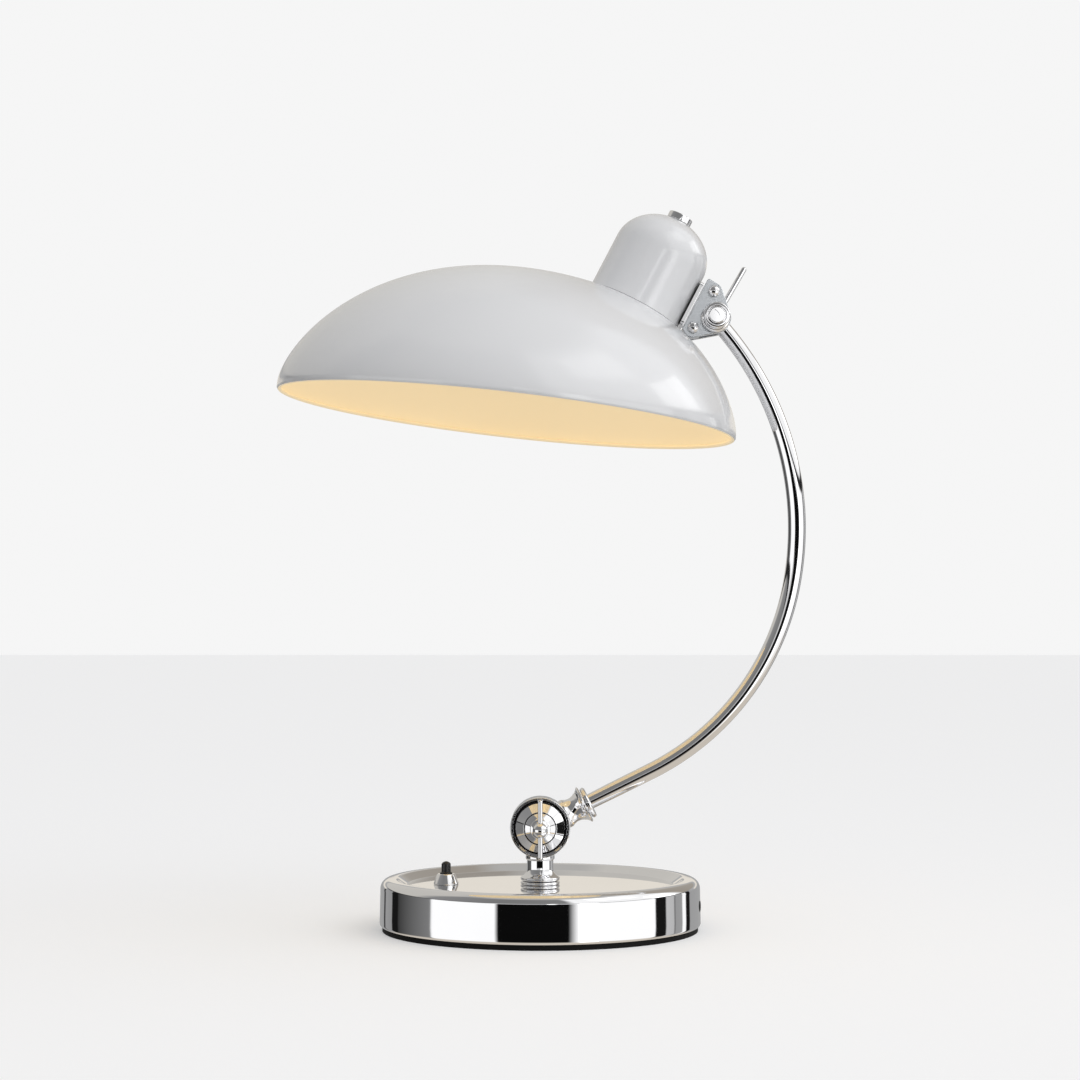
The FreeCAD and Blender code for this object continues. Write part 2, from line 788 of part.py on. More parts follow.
def tommy_bar():
    half = tommy_length / 2
    bar = round_rod(tommy_r, 0, half)
    bar = bar.fuse(bar.mirror(V(0, 0, 0), Z_AXIS)).removeSplitter()
    return bar.translated(V(0, -tommy_z, hub_z))


# ---------------------------------------------------------------- shade
def bezier(points, share):
    """Place and direction on a cubic curve with four control points (x, z)."""
    rest = 1 - share
    place = [rest ** 3 * a + 3 * rest ** 2 * share * b + 3 * rest * share ** 2 * c + share ** 3 * d
             for a, b, c, d in zip(*points)]
    way = [rest ** 2 * (b - a) + 2 * rest * share * (c - b) + share ** 2 * (d - c)
           for a, b, c, d in zip(*points)]
    size = math.hypot(*way)
    return place, (way[0] / size, way[1] / size)


def polar(origin, length, degrees):
    return (origin[0] + length * math.cos(math.radians(degrees)),
            origin[1] + length * math.sin(math.radians(degrees)))


def shade_sides():
    """The front and back profile of the dome, from the rim up to the neck, in the head's frame."""
    rim = (shade_rim_x, shade_rim_z)
    front_rim = polar(rim, -shade_rim_r, shade_rim_turn)
    back_rim = polar(rim, shade_rim_r, shade_rim_turn)
    front_top = (-shade_top_r, shade_top_z)
    back_top = (shade_top_r, shade_top_z)
    square = shade_rim_turn + 90
    front = (front_rim, polar(front_rim, front_rim_reach, square + front_rim_lean),
             polar(front_top, front_shoulder_reach, 180 + shoulder_slope), front_top)
    back = (back_rim, polar(back_rim, back_rim_reach, square + back_rim_lean),
            polar(back_top, back_shoulder_reach, -shoulder_slope), back_top)
    return front, back


def shade_skin(inset, first, last):
    """Loft through circles whose ends run along both profiles, set in by the wall."""
    front, back = shade_sides()
    wires = []
    for k in range(shade_stations):
        share = first + (last - first) * k / (shade_stations - 1)
        (fx, fz), (fu, fw) = bezier(front, share)
        (bx, bz), (bu, bw) = bezier(back, share)
        low = V(fx + inset * fw, 0, fz - inset * fu)
        high = V(bx - inset * bw, 0, bz + inset * bu)
        chord = high - low
        wires.append(hoop((low + high) * 0.5, V(-chord.z, 0, chord.x), chord, chord.Length / 2))
    return Part.makeLoft(wires, True, False)


def shade():
    dome = shade_skin(0, 0, 1).cut(shade_skin(shade_wall, -0.02, 1))
    dome = dome.cut(rod(cup_r + seat_gap, shade_top_z - 4, shade_top_z + 1))
    turn = math.radians(shade_rim_turn)
    bead = Part.makeTorus(shade_rim_r - bead_inset, bead_r, V(shade_rim_x, 0, shade_rim_z),
                          V(-math.sin(turn), 0, math.cos(turn)))
    return in_head(dome.fuse(bead))


# ---------------------------------------------------------------- neck and knob
def neck_skin(inset, low):
    """Turned neck: a cylinder closed by half an ellipsoid."""
    radius = neck_r - inset
    rise = neck_dome_h - inset
    apex = neck_straight + rise
    curve = Part.Ellipse(V(radius, 0, neck_straight), V(0, 0, apex), V(0, 0, neck_straight))
    edges = [Part.LineSegment(V(0, 0, low), V(radius, 0, low)).toShape(),
             Part.LineSegment(V(radius, 0, low), V(radius, 0, neck_straight)).toShape(),
             Part.ArcOfEllipse(curve, 0, math.pi / 2).toShape(),
             Part.LineSegment(V(0, 0, apex), V(0, 0, low)).toShape()]
    return Part.Face(Part.Wire(edges)).revolve(V(0, 0, 0), Z_AXIS, 360)


def seat_height():
    """Height at which the neck's top is cut flat for the knob."""
    return neck_straight + neck_dome_h * math.sqrt(1 - (knob_seat_r / neck_r) ** 2)


def neck_screw_heights():
    return (neck_screw_low, neck_screw_high)


def along_x(radius, low_x, high_x, height):
    return Part.makeCylinder(radius, high_x - low_x, V(low_x, 0, height), V(1, 0, 0))


def neck():
    shell = neck_skin(0, -neck_skirt).cut(neck_skin(neck_wall, -neck_skirt - 1))
    shell = shell.cut(rod(neck_r, seat_height(), neck_straight + neck_dome_h + 1))
    shell = shell.cut(rod(nipple_r + plate_gap, neck_straight, neck_straight + neck_dome_h))
    shell = shell.cut(shade_skin(-seat_gap, 0, 1))
    for height in neck_screw_heights():
        shell = shell.cut(along_x(neck_screw_r + plate_gap, neck_r - 6, neck_r + 2, height))
    return in_head(shell)


def neck_knob():
    low = seat_height()
    high = low + knob_h
    knob = turned((0, low), (knob_r - 0.3, low), (knob_r, low + 0.3), (knob_r, high - 0.5),
                  (knob_r - 0.5, high), (0, high))
    return in_head(knob.cut(rod(nipple_r + plate_gap, low - 1, high - 1.4)))


def nipple():
    high = seat_height() + knob_h - 1.6
    return in_head(tube(nipple_r, nipple_bore_r, nipple_start, high))


# ---------------------------------------------------------------- lampholder and bulb
def holder_cup():
    """Vented cup that carries the lampholder and draws the shade up against the neck."""
    slope = math.tan(math.radians(shoulder_slope))
    gap = shade_wall / math.cos(math.radians(shoulder_slope)) + face_gap
    high = shade_top_z - gap
    low = high - (cup_flange_r - shade_top_r) * slope
    inner = cup_r - cup_wall
    cup = turned((nipple_r + plate_gap, cup_top - cup_wall), (inner, cup_top - cup_wall),
                 (inner, high - 1.4), (cup_flange_r, low - 1.4), (cup_flange_r, low),
                 (shade_top_r, high), (cup_r, high),
                 (cup_r, cup_top - 2), corner_arc(cup_r - 2, cup_top - 2, 2, 0, 90),
                 (nipple_r + plate_gap, cup_top))
    for k in range(cup_vent_count):
        vent = Part.makeBox(cup_r + 4, cup_vent_w, cup_vent_high - cup_vent_low,
                            V(0, -cup_vent_w / 2, cup_vent_low))
        vent = vent.cut(rod(holder_r + 1, cup_vent_low, cup_vent_high))
        vent.rotate(V(0, 0, 0), Z_AXIS, 60 + 360 * k / cup_vent_count)
        cup = cup.cut(vent)
    return in_head(cup)


def nipple_nut():
    return in_head(hexagon(nipple_nut_flats, nipple_r + plate_gap, cup_top, cup_top + nipple_nut_h))


def holder_cap():
    top = cup_top - cup_wall
    inner = holder_r - holder_wall
    shell = turned((nipple_r + plate_gap, top), (holder_r - 7, top),
                   (holder_r - 1.6, top - 2.6, holder_r, top - 8.5), (holder_r, holder_split),
                   (inner, holder_split), (inner, top - 8.8),
                   (inner - 1.6, top - 4.6, inner - 6, top - holder_wall),
                   (nipple_r + plate_gap, top - holder_wall))
    return in_head(shell)


def holder_body():
    bore = shell_r + plate_gap
    floor = holder_split - holder_floor
    body = turned((bore, holder_mouth + 1.2), (bore + 1.0, holder_mouth), (holder_r - 1.4, holder_mouth),
                  (holder_r, holder_mouth + 1.4), (holder_r, holder_mouth + 6),
                  (holder_r - 0.7, holder_mouth + 6.6), (holder_r - 0.7, holder_mouth + 8),
                  (holder_r, holder_mouth + 8.6), (holder_r, holder_split - 0.1), (0, holder_split - 0.1),
                  (0, floor), (bore, floor))
    return in_head(body)


def holder_shell():
    floor = holder_split - holder_floor
    return in_head(tube(shell_r, shell_r - shell_wall, holder_mouth + 1.4, floor - 0.1))


def holder_contact():
    """Sprung centre contact, bent from strip."""
    floor = holder_split - holder_floor
    low = bulb_tip_z + 0.1
    strip = outline((-7, floor), (-7, floor - contact_t), (-3.6, floor - contact_t), (-1.8, low), (3.4, low),
                    (3.4, low + contact_t), (-1.4, low + contact_t), (-3.2, floor))
    return in_head(slab(strip, -contact_w / 2, contact_w / 2))


def bulb_cap():
    foot = bulb_tip_z - bulb_cap_h - 3.0
    shell_top = foot + bulb_cap_h
    screw_cap = turned((0, foot), (bulb_cap_r - 0.2, foot), (bulb_cap_r, foot + 1),
                       (bulb_cap_r, shell_top - 3), (bulb_cap_r - 3.2, shell_top), (4.6, shell_top + 1.2),
                       (4.0, bulb_tip_z), (0, bulb_tip_z))
    return in_head(screw_cap)


def bulb_envelope():
    """Opal glass ball on a waisted neck, blown hollow."""
    foot = bulb_tip_z - bulb_cap_h - 3.0 - 0.1
    join = math.radians(52)

    def blown(inset):
        ball = bulb_ball_r - inset
        edge = ball * math.cos(join)
        lift = bulb_ball_z + ball * math.sin(join)
        neck_radius = bulb_neck_r - inset
        top = foot + (1 if inset else 0)
        return turned((0, top), (neck_radius, top), (neck_radius, foot - 3),
                      ((neck_radius + edge) / 2 - 0.25, (foot - 3 + lift) / 2 + 0.25, edge, lift),
                      (ball, bulb_ball_z, 0, bulb_ball_z - ball))
    return in_head(blown(0).cut(blown(bulb_wall)))


# ---------------------------------------------------------------- bracket
def cheek_outline(grow):
    """Rounded triangle through both screws and the pivot, clockwise from the upper neck corner."""
    return belt([(cheek_corner_x, cheek_corner_high, cheek_corner_r + grow),
                 (screw_high_x, screw_high_z, cheek_high_r + grow),
                 (pivot_x, pivot_z, cheek_eye_r + grow),
                 (screw_low_x, screw_low_z, cheek_low_r + grow),
                 (cheek_corner_x, cheek_corner_low, cheek_corner_r + grow)])


def screw_centres():
    return (V(screw_low_x, 0, screw_low_z), V(screw_high_x, 0, screw_high_z))


def bracket_base():
    strap_x = neck_r + strap_gap
    strap = Part.makeBox(strap_t, 2 * strap_half, strap_high - strap_low, V(strap_x, -strap_half, strap_low))
    corners = [edge for edge in strap.Edges
               if abs(edge.Vertexes[0].Y - edge.Vertexes[1].Y) < 1e-6
               and abs(edge.Vertexes[0].Z - edge.Vertexes[1].Z) < 1e-6]
    strap = strap.makeFillet(2.0, corners)
    web = slab(cheek_outline(-0.4), -lug_half, lug_half)
    bridge_h = strap_high - strap_low - 1.0
    bridge = Part.makeBox(cheek_corner_x - strap_x, 2 * lug_half, bridge_h,
                          V(strap_x + 1, -lug_half, strap_low + 0.5))
    whole = fused([strap, web, bridge])
    whole = whole.cut(along_y(eye_r + 0.8, -lug_half - 1, lug_half + 1, eye_centre))
    beyond = Part.makeBox(pivot_x, 2 * lug_half + 2, 2 * pivot_x,
                          V(pivot_x - bracket_back, -lug_half - 1, pivot_z - pivot_x))
    whole = whole.cut(beyond)
    for centre in screw_centres():
        whole = whole.cut(along_y(bracket_screw_r + plate_gap, -lug_half - 1, lug_half + 1, centre))
    for height in neck_screw_heights():
        whole = whole.cut(along_x(neck_screw_r + plate_gap, strap_x - 1, strap_x + 5.6, height))
    return in_head(whole)


def cheek(low_y):
    plate = slab(cheek_outline(0), low_y, low_y + cheek_t)
    for centre in screw_centres():
        plate = plate.cut(along_y(bracket_screw_r + plate_gap, low_y - 1, low_y + cheek_t + 1, centre))
    return in_head(plate.cut(along_y(pivot_bolt_r + plate_gap, low_y - 1, low_y + cheek_t + 1, eye_centre)))


def domed(radius, height, base_z):
    """A round button head standing on z."""
    rim = base_z + height * 0.25
    return turned((0, base_z), (radius, base_z), (radius, rim), cap(radius, rim, base_z + height))


def bracket_screws():
    screws = []
    for centre in screw_centres():
        head = facing_front(domed(bracket_head_r, bracket_head_h, cheek_face), centre)
        shank = along_y(bracket_screw_r, -cheek_face, cheek_face + 1.8, centre)
        screws.append(in_head(head.fuse(shank)))
    return Part.makeCompound(screws)


def bracket_nuts():
    nuts = []
    for centre in screw_centres():
        nut = domed(bracket_head_r, bracket_head_h, cheek_face)
        nut = nut.cut(rod(bracket_screw_r + plate_gap, cheek_face - 1, cheek_face + 1.9))
        nuts.append(in_head(facing_back(nut, centre)))
    return Part.makeCompound(nuts)


def neck_screws():
    screws = []
    inner = neck_r - neck_wall
    for height in neck_screw_heights():
        flat = math.sqrt(inner ** 2 - neck_screw_head_r ** 2) - plate_gap
        head = along_x(neck_screw_head_r, flat - 1.8, flat, height)
        shank = along_x(neck_screw_r, flat, neck_r + strap_gap + 5.4, height)
        screws.append(in_head(head.fuse(shank)))
    return Part.makeCompound(screws)


# ---------------------------------------------------------------- upper pivot
def pivot_boss():
    """Turned distance piece between the front cheek and the slotted bolt."""
    high = boss_h
    bore = pivot_bolt_r + plate_gap
    floor = high - boss_recess_depth
    boss = turned((bore, 0), (boss_r, 0), (boss_r, 1.4), (boss_r - 0.5, 2.4, boss_r - 1.6, 2.9),
                  (boss_waist_r, 3.2), (boss_waist_r - 0.3, 6.0, boss_waist_r, 8.6),
                  (boss_ring_r - 0.4, 9.4), (boss_ring_r, 10.2), (boss_ring_r, high - 1.0),
                  (boss_ring_r - 0.3, high - 0.3, boss_ring_r - 1.0, high),
                  (boss_recess_r + 0.4, high), (boss_recess_r, high - 0.4), (boss_recess_r, floor),
                  (bore, floor))
    return in_head(facing_front(boss.translated(V(0, 0, cheek_face)), eye_centre))


def pivot_bolt():
    low = cheek_face + boss_h - boss_recess_depth
    high = low + pivot_head_h
    head = turned((0, low), (pivot_head_r, low), (pivot_head_r, high - 0.6),
                  (pivot_head_r - 0.2, high - 0.15, pivot_head_r - 0.8, high), (0, high))
    reach = slot_length / 2
    bulge = slot_width / 2
    lens = Part.Wire([Part.Arc(V(-reach, 0, high), V(0, bulge, high), V(reach, 0, high)).toShape(),
                      Part.Arc(V(reach, 0, high), V(0, -bulge, high), V(-reach, 0, high)).toShape()])
    slot = Part.Face(lens).extrude(V(0, 0, -slot_depth))
    slot.rotate(V(0, 0, 0), Z_AXIS, 90 + slot_turn)
    shank_end = cheek_face + lever_nut_h - 3
    shank = rod(pivot_bolt_r, -shank_end, low)
    return in_head(facing_front(head.cut(slot).fuse(shank), eye_centre))


def lever_nut():
    high = lever_nut_h
    nut = turned((0, 0), (boss_r, 0), (boss_r, 1.4), (boss_r - 0.5, 2.4, boss_r - 1.6, 2.9),
                 (boss_waist_r, 3.2), (boss_waist_r, 4.6), (boss_ring_r, 5.4), (boss_ring_r, high - 2.2),
                 (boss_ring_r - 0.6, high - 0.8, boss_ring_r - 2.4, high), (0, high))
    nut = nut.cut(rod(pivot_bolt_r + running_gap, -1, high - 2.8))
    nut = facing_back(nut.translated(V(0, 0, cheek_face + 0.1)), eye_centre)
    return in_head(nut.cut(lever_rod(lever_pin_r + plate_gap / 2)))


def lever_rod(radius):
    """The lever's own rod, from inside the nut's wall outwards."""
    pin = round_rod(radius, pivot_bolt_r + 0.6, lever_length)
    pin.rotate(V(0, 0, 0), Y_AXIS, 90 - lever_turn)
    return pin.translated(V(pivot_x, cheek_face + lever_pin_y, pivot_z))


def lever_pin():
    return in_head(lever_rod(lever_pin_r))


# ---------------------------------------------------------------- all pieces
def pieces():
    return {
        "base_pad": base_pad(),
        "base_plate": base_plate(),
        "base_weight": base_weight(),
        "base_cover": base_cover(),
        "plate_screws": plate_screws(),
        "cable_bush": cable_bush(),
        "switch_collar": switch_collar(),
        "switch_sleeve": switch_sleeve(),
        "switch_body": switch_body(),
        "switch_nut": switch_nut(),
        "switch_button": switch_button(),
        "stem_foot": stem_foot(),
        "foot_washer": foot_washer(),
        "foot_nut": foot_nut(),
        "stem": stem(),
        "stem_grub_screw": stem_grub_screw(),
        "hub_bolt": hub_bolt(),
        "friction_washer": friction_washer(),
        "clamp_knob": clamp_knob(),
        "tommy_bar": tommy_bar(),
        "arm_hub": arm_hub(),
        "collar_nut": collar_nut(),
        "arm_tube": arm_tube(),
        "arm_eye": arm_eye(),
        "shade": shade(),
        "neck": neck(),
        "neck_knob": neck_knob(),
        "nipple": nipple(),
        "nipple_nut": nipple_nut(),
        "holder_cup": holder_cup(),
        "holder_cap": holder_cap(),
        "holder_body": holder_body(),
        "holder_shell": holder_shell(),
        "holder_contact": holder_contact(),
        "bulb_cap": bulb_cap(),
        "bulb_envelope": bulb_envelope(),
        "bracket_base": bracket_base(),
        "front_cheek": cheek(-cheek_face),
        "rear_cheek": cheek(lug_half),
        "bracket_screws": bracket_screws(),
        "bracket_nuts": bracket_nuts(),
        "neck_screws": neck_screws(),
        "pivot_boss": pivot_boss(),
        "pivot_bolt": pivot_bolt(),
        "lever_nut": lever_nut(),
        "lever_pin": lever_pin(),
    }


def main():
    os.makedirs("parts", exist_ok=True)
    for name, shape in pieces().items():
        shape.exportStep("parts/" + name + ".step")
        print(name, "solids", len(shape.Solids), "volume", round(shape.Volume, 1), "valid", shape.isValid())


main()
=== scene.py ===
"""Dome shade desk lamp: its finishes and close-up pieces, laid over its frame, and the studio round it."""

import json
import math

import bmesh
import bpy
from bpy.props import FloatProperty, FloatVectorProperty, PointerProperty
from bpy.types import Operator, Panel, PropertyGroup
from mathutils import Matrix, Vector


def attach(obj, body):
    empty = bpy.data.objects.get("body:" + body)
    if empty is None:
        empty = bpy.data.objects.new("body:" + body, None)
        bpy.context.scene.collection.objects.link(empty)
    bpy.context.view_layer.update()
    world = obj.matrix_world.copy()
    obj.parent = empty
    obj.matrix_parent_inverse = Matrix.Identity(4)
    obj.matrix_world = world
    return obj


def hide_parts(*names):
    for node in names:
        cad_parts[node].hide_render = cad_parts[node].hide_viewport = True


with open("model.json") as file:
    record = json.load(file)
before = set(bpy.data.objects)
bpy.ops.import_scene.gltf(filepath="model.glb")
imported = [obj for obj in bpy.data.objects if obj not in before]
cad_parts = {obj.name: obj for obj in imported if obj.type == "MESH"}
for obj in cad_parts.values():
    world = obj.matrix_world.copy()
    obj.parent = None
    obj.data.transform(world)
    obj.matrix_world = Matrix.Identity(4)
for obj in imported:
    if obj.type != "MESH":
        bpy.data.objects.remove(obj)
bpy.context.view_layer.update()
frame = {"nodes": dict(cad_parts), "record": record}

bl_info = {
    "name": "Dome Shade Desk Lamp",
    "version": (1, 0, 0),
    "blender": (4, 5, 0),
    "location": "View3D > Sidebar > Desk Lamp",
    "description": "Builds the visible pieces and finishes of a chrome desk lamp with a white dome shade",
    "category": "Add Mesh",
}

MM = 0.001


# ------------------------------------------------------------------ sizes and colours
def length(name, text, default):
    """A length that is written in millimetres."""
    return FloatProperty(name=name, description=text, default=default * MM, unit="LENGTH", subtype="DISTANCE",
                         precision=5)


def angle(name, text, default):
    """An angle that is written in degrees."""
    return FloatProperty(name=name, description=text, default=math.radians(default), subtype="ANGLE",
                         unit="ROTATION")


def paint(name, text, default):
    """A colour."""
    return FloatVectorProperty(name=name, description=text, default=default, size=3, subtype="COLOR",
                               min=0.0, max=1.0)


class LampHeadSizes(PropertyGroup):
    tilt: angle("Neck lean", "How far the neck's axis leans towards the arm", 27.5)
    pivot_x: length("Pivot reach", "From the neck's axis to the tilting pivot", 48.2)
    pivot_z: length("Pivot height", "Pivot height in the head's own frame", 14.6)
    rim_r: length("Rim radius", "Radius of the shade's rim", 142.5)
    rim_x: length("Rim offset", "Rim centre along the head's x", -39.1)
    rim_z: length("Rim drop", "Rim centre along the neck's axis", -98.2)
    rim_turn: angle("Rim turn", "Between the rim's plane and the neck's", 21.1)
    top_r: length("Top radius", "Where the dome ends under the neck", 23.6)
    top_z: length("Top height", "Where the dome ends along the neck's axis", -0.5)
    shoulder_slope: angle("Shoulder slope", "Slope of the dome under the neck", 10.4)
    front_shoulder: length("Front shoulder", "Fullness of the dome's front shoulder", 139.6)
    back_shoulder: length("Back shoulder", "Fullness of the dome's back shoulder", 40.6)
    front_rise: length("Front rise", "How far the front edge climbs before it turns", 24.9)
    front_lean: angle("Front lean", "Lean of the dome's front edge", 6.8)
    back_rise: length("Back rise", "How far the back edge climbs before it turns", 12.1)
    back_lean: angle("Back lean", "Lean of the dome's back edge", -2.7)
    wall: length("Shade wall", "Thickness of the spun dome", 1.0)
    bead_r: length("Bead radius", "Radius of the rolled rim bead", 1.25)
    bead_inset: length("Bead inset", "How far the bead stands in from the rim", 1.45)
    neck_r: length("Neck radius", "Outer radius of the neck", 30.0)
    neck_straight: length("Neck straight", "Where the neck starts to round over", 34.0)
    neck_dome: length("Neck dome", "Height of the neck's rounded end", 24.9)
    knob_r: length("Knob radius", "Radius of the knob on the neck", 7.85)
    knob_h: length("Knob height", "Height of the knob on the neck", 4.2)
    knob_seat: length("Knob seat", "Radius of the flat under the knob", 7.2)


class LampArmSizes(PropertyGroup):
    hub_z: length("Hub height", "Height of the hub's axis", 62.8)
    rise: angle("Arm rise", "Slope of the arm where it leaves the hub", 26.4)
    straight: length("Arm straight", "Straight root of the arm", 76.0)
    low_bend_r: length("Low bend radius", "Radius of the lower bend", 162.5)
    low_bend: angle("Low bend", "Turn of the lower bend", 51.8)
    high_bend_r: length("High bend radius", "Radius of the upper bend", 189.8)
    high_bend: angle("High bend", "Turn of the upper bend", 54.5)
    start: length("Tube start", "Where the tube enters the collar", 20.1)
    root_r: length("Root radius", "Tube radius at the collar", 4.6)
    low_r: length("Low radius", "Tube radius above the collar", 5.0)
    low_at: length("Low place", "Where the tube has its low radius", 60.0)
    bow_r: length("Bow radius", "Tube radius in the middle of the bow", 5.5)
    bow_at: length("Bow place", "Where the tube is thickest", 265.0)
    top_r: length("Top radius", "Tube radius at the eye", 4.95)
    eye_r: length("Eye radius", "Radius of the eye at the arm's end", 8.2)


class LampHubSizes(PropertyGroup):
    hub_r: length("Hub radius", "Radius of each half of the hub", 18.1)
    ring_r: length("Ring radius", "Radius of the bright ring round the cup", 18.4)
    depth: length("Hub depth", "Depth of each half from the lamp's middle plane", 13.0)
    split: length("Hub split", "Half the slot between the halves", 0.35)
    cup_r: length("Cup mouth", "Radius of the cup's mouth", 17.3)
    floor_r: length("Cup floor", "Radius of the cup's floor", 16.6)
    cup_depth: length("Cup depth", "Depth of the cup", 5.8)
    knob_r: length("Knob radius", "Radius of the clamp knob's foot", 15.0)
    step_r: length("Knob step", "Radius at the top of the knob's cone", 9.8)
    step_h: length("Step height", "Where the knob's cone ends above the cup's floor", 10.6)
    boss_r: length("Knob boss", "Radius of the knob's boss", 9.2)
    waist_r: length("Knob waist", "Radius of the knob's waist", 6.2)
    throat_r: length("Knob throat", "Radius where the cross bar goes through", 3.4)
    bar_y: length("Bar place", "How far the cross bar stands in front of the middle plane", 27.0)
    bar_r: length("Bar radius", "Radius of the cross bar", 1.45)
    bar_length: length("Bar length", "Length of the cross bar", 36.0)
    ball_r: length("Ball radius", "Radius of the ball end", 4.55)
    ball_y: length("Ball place", "How far the ball stands in front of the middle plane", 30.6)
    collar_end: length("Collar end", "Where the arm's collar ends", 31.0)
    collar_root_r: length("Collar root", "Radius of the collar at the hub", 8.9)
    collar_waist_r: length("Collar waist", "Radius of the collar's waist", 7.5)
    collar_flange_r: length("Collar flange", "Radius of the collar's flange", 11.7)
    nut_r: length("Ring nut", "Radius of the ring nut on the collar", 9.85)
    stem_r: length("Stem radius", "Radius of the stem", 8.1)
    bead_r: length("Bead radius", "Radius of the beads at the stem's foot", 12.1)


class LampBaseSizes(PropertyGroup):
    radius: length("Base radius", "Widest radius of the cover", 98.3)
    draft: length("Base draft", "How much the side leans in at the top", 0.4)
    crest: length("Crest height", "Height of the cover's crest", 31.5)
    shoulder_r: length("Shoulder radius", "Rounding of the shoulder", 5.5)
    brow_r: length("Brow radius", "Shallow curve between the shoulder and the crest", 40.0)
    curl_r: length("Curl radius", "Rounding of the lower edge", 2.2)
    wall: length("Cover wall", "Thickness of the cover", 1.2)
    lip: length("Lip", "Width of the turned-in lip", 2.7)
    dish_r: length("Dish radius", "Radius of the flat disc", 81.8)
    dish_drop: length("Dish drop", "Depth of the disc under the crest", 4.0)
    dish_slope: angle("Dish slope", "Slope between the disc and the crest", 35.0)
    crest_bend: length("Crest bend", "Rounding of the crest", 3.0)
    dish_bend: length("Dish bend", "Rounding at the disc's edge", 1.0)
    pad_h: length("Pad height", "Thickness of the pad", 2.8)
    switch_x: length("Switch place", "Where the switch stands on the disc", -57.8)


class LampColours(PropertyGroup):
    chrome: paint("Chrome", "Polished chrome", (0.83, 0.83, 0.84))
    lacquer: paint("White lacquer", "Outside of the shade and the neck", (0.80, 0.805, 0.815))
    # The warm cream is partly the lining's own white paint and partly painted bulb light.
    lining: paint("Shade lining with painted bulb light", "Inside of the shade", (0.93, 0.80, 0.56))
    satin: paint("Satin steel", "Cheeks of the bracket", (0.74, 0.77, 0.80))
    pad: paint("Pad", "Rubber under the base", (0.004, 0.004, 0.004))
    black: paint("Black plastic", "Switch button and bushes", (0.010, 0.010, 0.011))
    glow: paint("Bulb light", "Colour of the lit bulb", (1.0, 0.80, 0.50))
    backdrop: paint("Backdrop", "Floor and background", (0.92, 0.92, 0.92))


# ------------------------------------------------------------------ finishes
class Finish:
    """Small helper that strings shader nodes together."""

    def __init__(self, name):
        self.material = bpy.data.materials.new(name)
        self.material.use_nodes = True
        self.tree = self.material.node_tree
        self.shader = self.tree.nodes["Principled BSDF"]
        self.place = self.add("ShaderNodeTexCoord").outputs["Object"]

    def add(self, kind, **values):
        node = self.tree.nodes.new(kind)
        for key, value in values.items():
            setattr(node, key, value)
        return node

    def link(self, source, target):
        self.tree.links.new(source, target)

    def set(self, **values):
        for key, value in values.items():
            self.shader.inputs[key.replace("_", " ")].default_value = value
        return self

    def noise(self, scale, detail=3.0, rough=0.55):
        node = self.add("ShaderNodeTexNoise")
        node.inputs["Scale"].default_value = scale
        node.inputs["Detail"].default_value = detail
        node.inputs["Roughness"].default_value = rough
        self.link(self.place, node.inputs["Vector"])
        return node.outputs["Fac"]

    def spread(self, fac, low, high):
        node = self.add("ShaderNodeMapRange")
        node.inputs["To Min"].default_value = low
        node.inputs["To Max"].default_value = high
        self.link(fac, node.inputs["Value"])
        return node.outputs["Result"]

    def shades(self, fac, dark, light, low=0.0, high=1.0):
        ramp = self.add("ShaderNodeValToRGB")
        ramp.color_ramp.elements[0].position = low
        ramp.color_ramp.elements[1].position = high
        ramp.color_ramp.elements[0].color = (*dark, 1)
        ramp.color_ramp.elements[1].color = (*light, 1)
        self.link(fac, ramp.inputs["Fac"])
        return ramp.outputs["Color"]

    def bump(self, fac, strength, distance):
        node = self.add("ShaderNodeBump")
        node.inputs["Strength"].default_value = strength
        node.inputs["Distance"].default_value = distance
        self.link(fac, node.inputs["Height"])
        self.link(node.outputs["Normal"], self.shader.inputs["Normal"])

    def colour(self, source):
        self.link(source, self.shader.inputs["Base Color"])

    def roughness(self, source):
        self.link(source, self.shader.inputs["Roughness"])


def darker(colour, share):
    """The colour with each channel taken down to a share of itself."""
    return tuple(c * share for c in colour)


def chrome_finish(colours):
    """A mirror with faint smears and a trace of ripple."""
    finish = Finish("Polished chrome")
    finish.set(Metallic=1.0)
    smears = finish.noise(14.0)
    finish.colour(finish.shades(smears, darker(colours.chrome, 0.97), tuple(colours.chrome), 0.35, 0.65))
    finish.roughness(finish.spread(finish.noise(38.0, 5.0), 0.018, 0.055))
    finish.bump(finish.noise(220.0, 2.0), 0.03, 0.00002)
    return finish.material


def lacquer_finish(colours):
    """Glossy white lacquer under a thin clear coat."""
    finish = Finish("White lacquer")
    finish.set(IOR=1.5, Coat_Weight=0.6, Coat_Roughness=0.03)
    clouds = finish.noise(9.0, 2.0)
    finish.colour(finish.shades(clouds, darker(colours.lacquer, 0.985), tuple(colours.lacquer)))
    finish.roughness(finish.spread(finish.noise(60.0), 0.16, 0.24))
    finish.bump(finish.noise(420.0, 2.0), 0.05, 0.00002)
    return finish.material


def painted_bulb_light_lining_finish(colours):
    """Warm white paint with painted bulb light: part of the warmth of its colour, and a faint glow of its
    own, stand in for the bulb's light on it.
    """
    finish = Finish("Shade lining with painted bulb light")
    # Painted glow: the lining gives off the bulb's warm colour itself, in place of being lit by the bulb.
    finish.set(IOR=1.45, Emission_Strength=0.30, Emission_Color=(*colours.glow, 1))
    finish.colour(finish.shades(finish.noise(7.0, 2.0), darker(colours.lining, 0.97), tuple(colours.lining)))
    finish.roughness(finish.spread(finish.noise(80.0), 0.42, 0.55))
    finish.bump(finish.noise(500.0, 2.0), 0.04, 0.00002)
    return finish.material


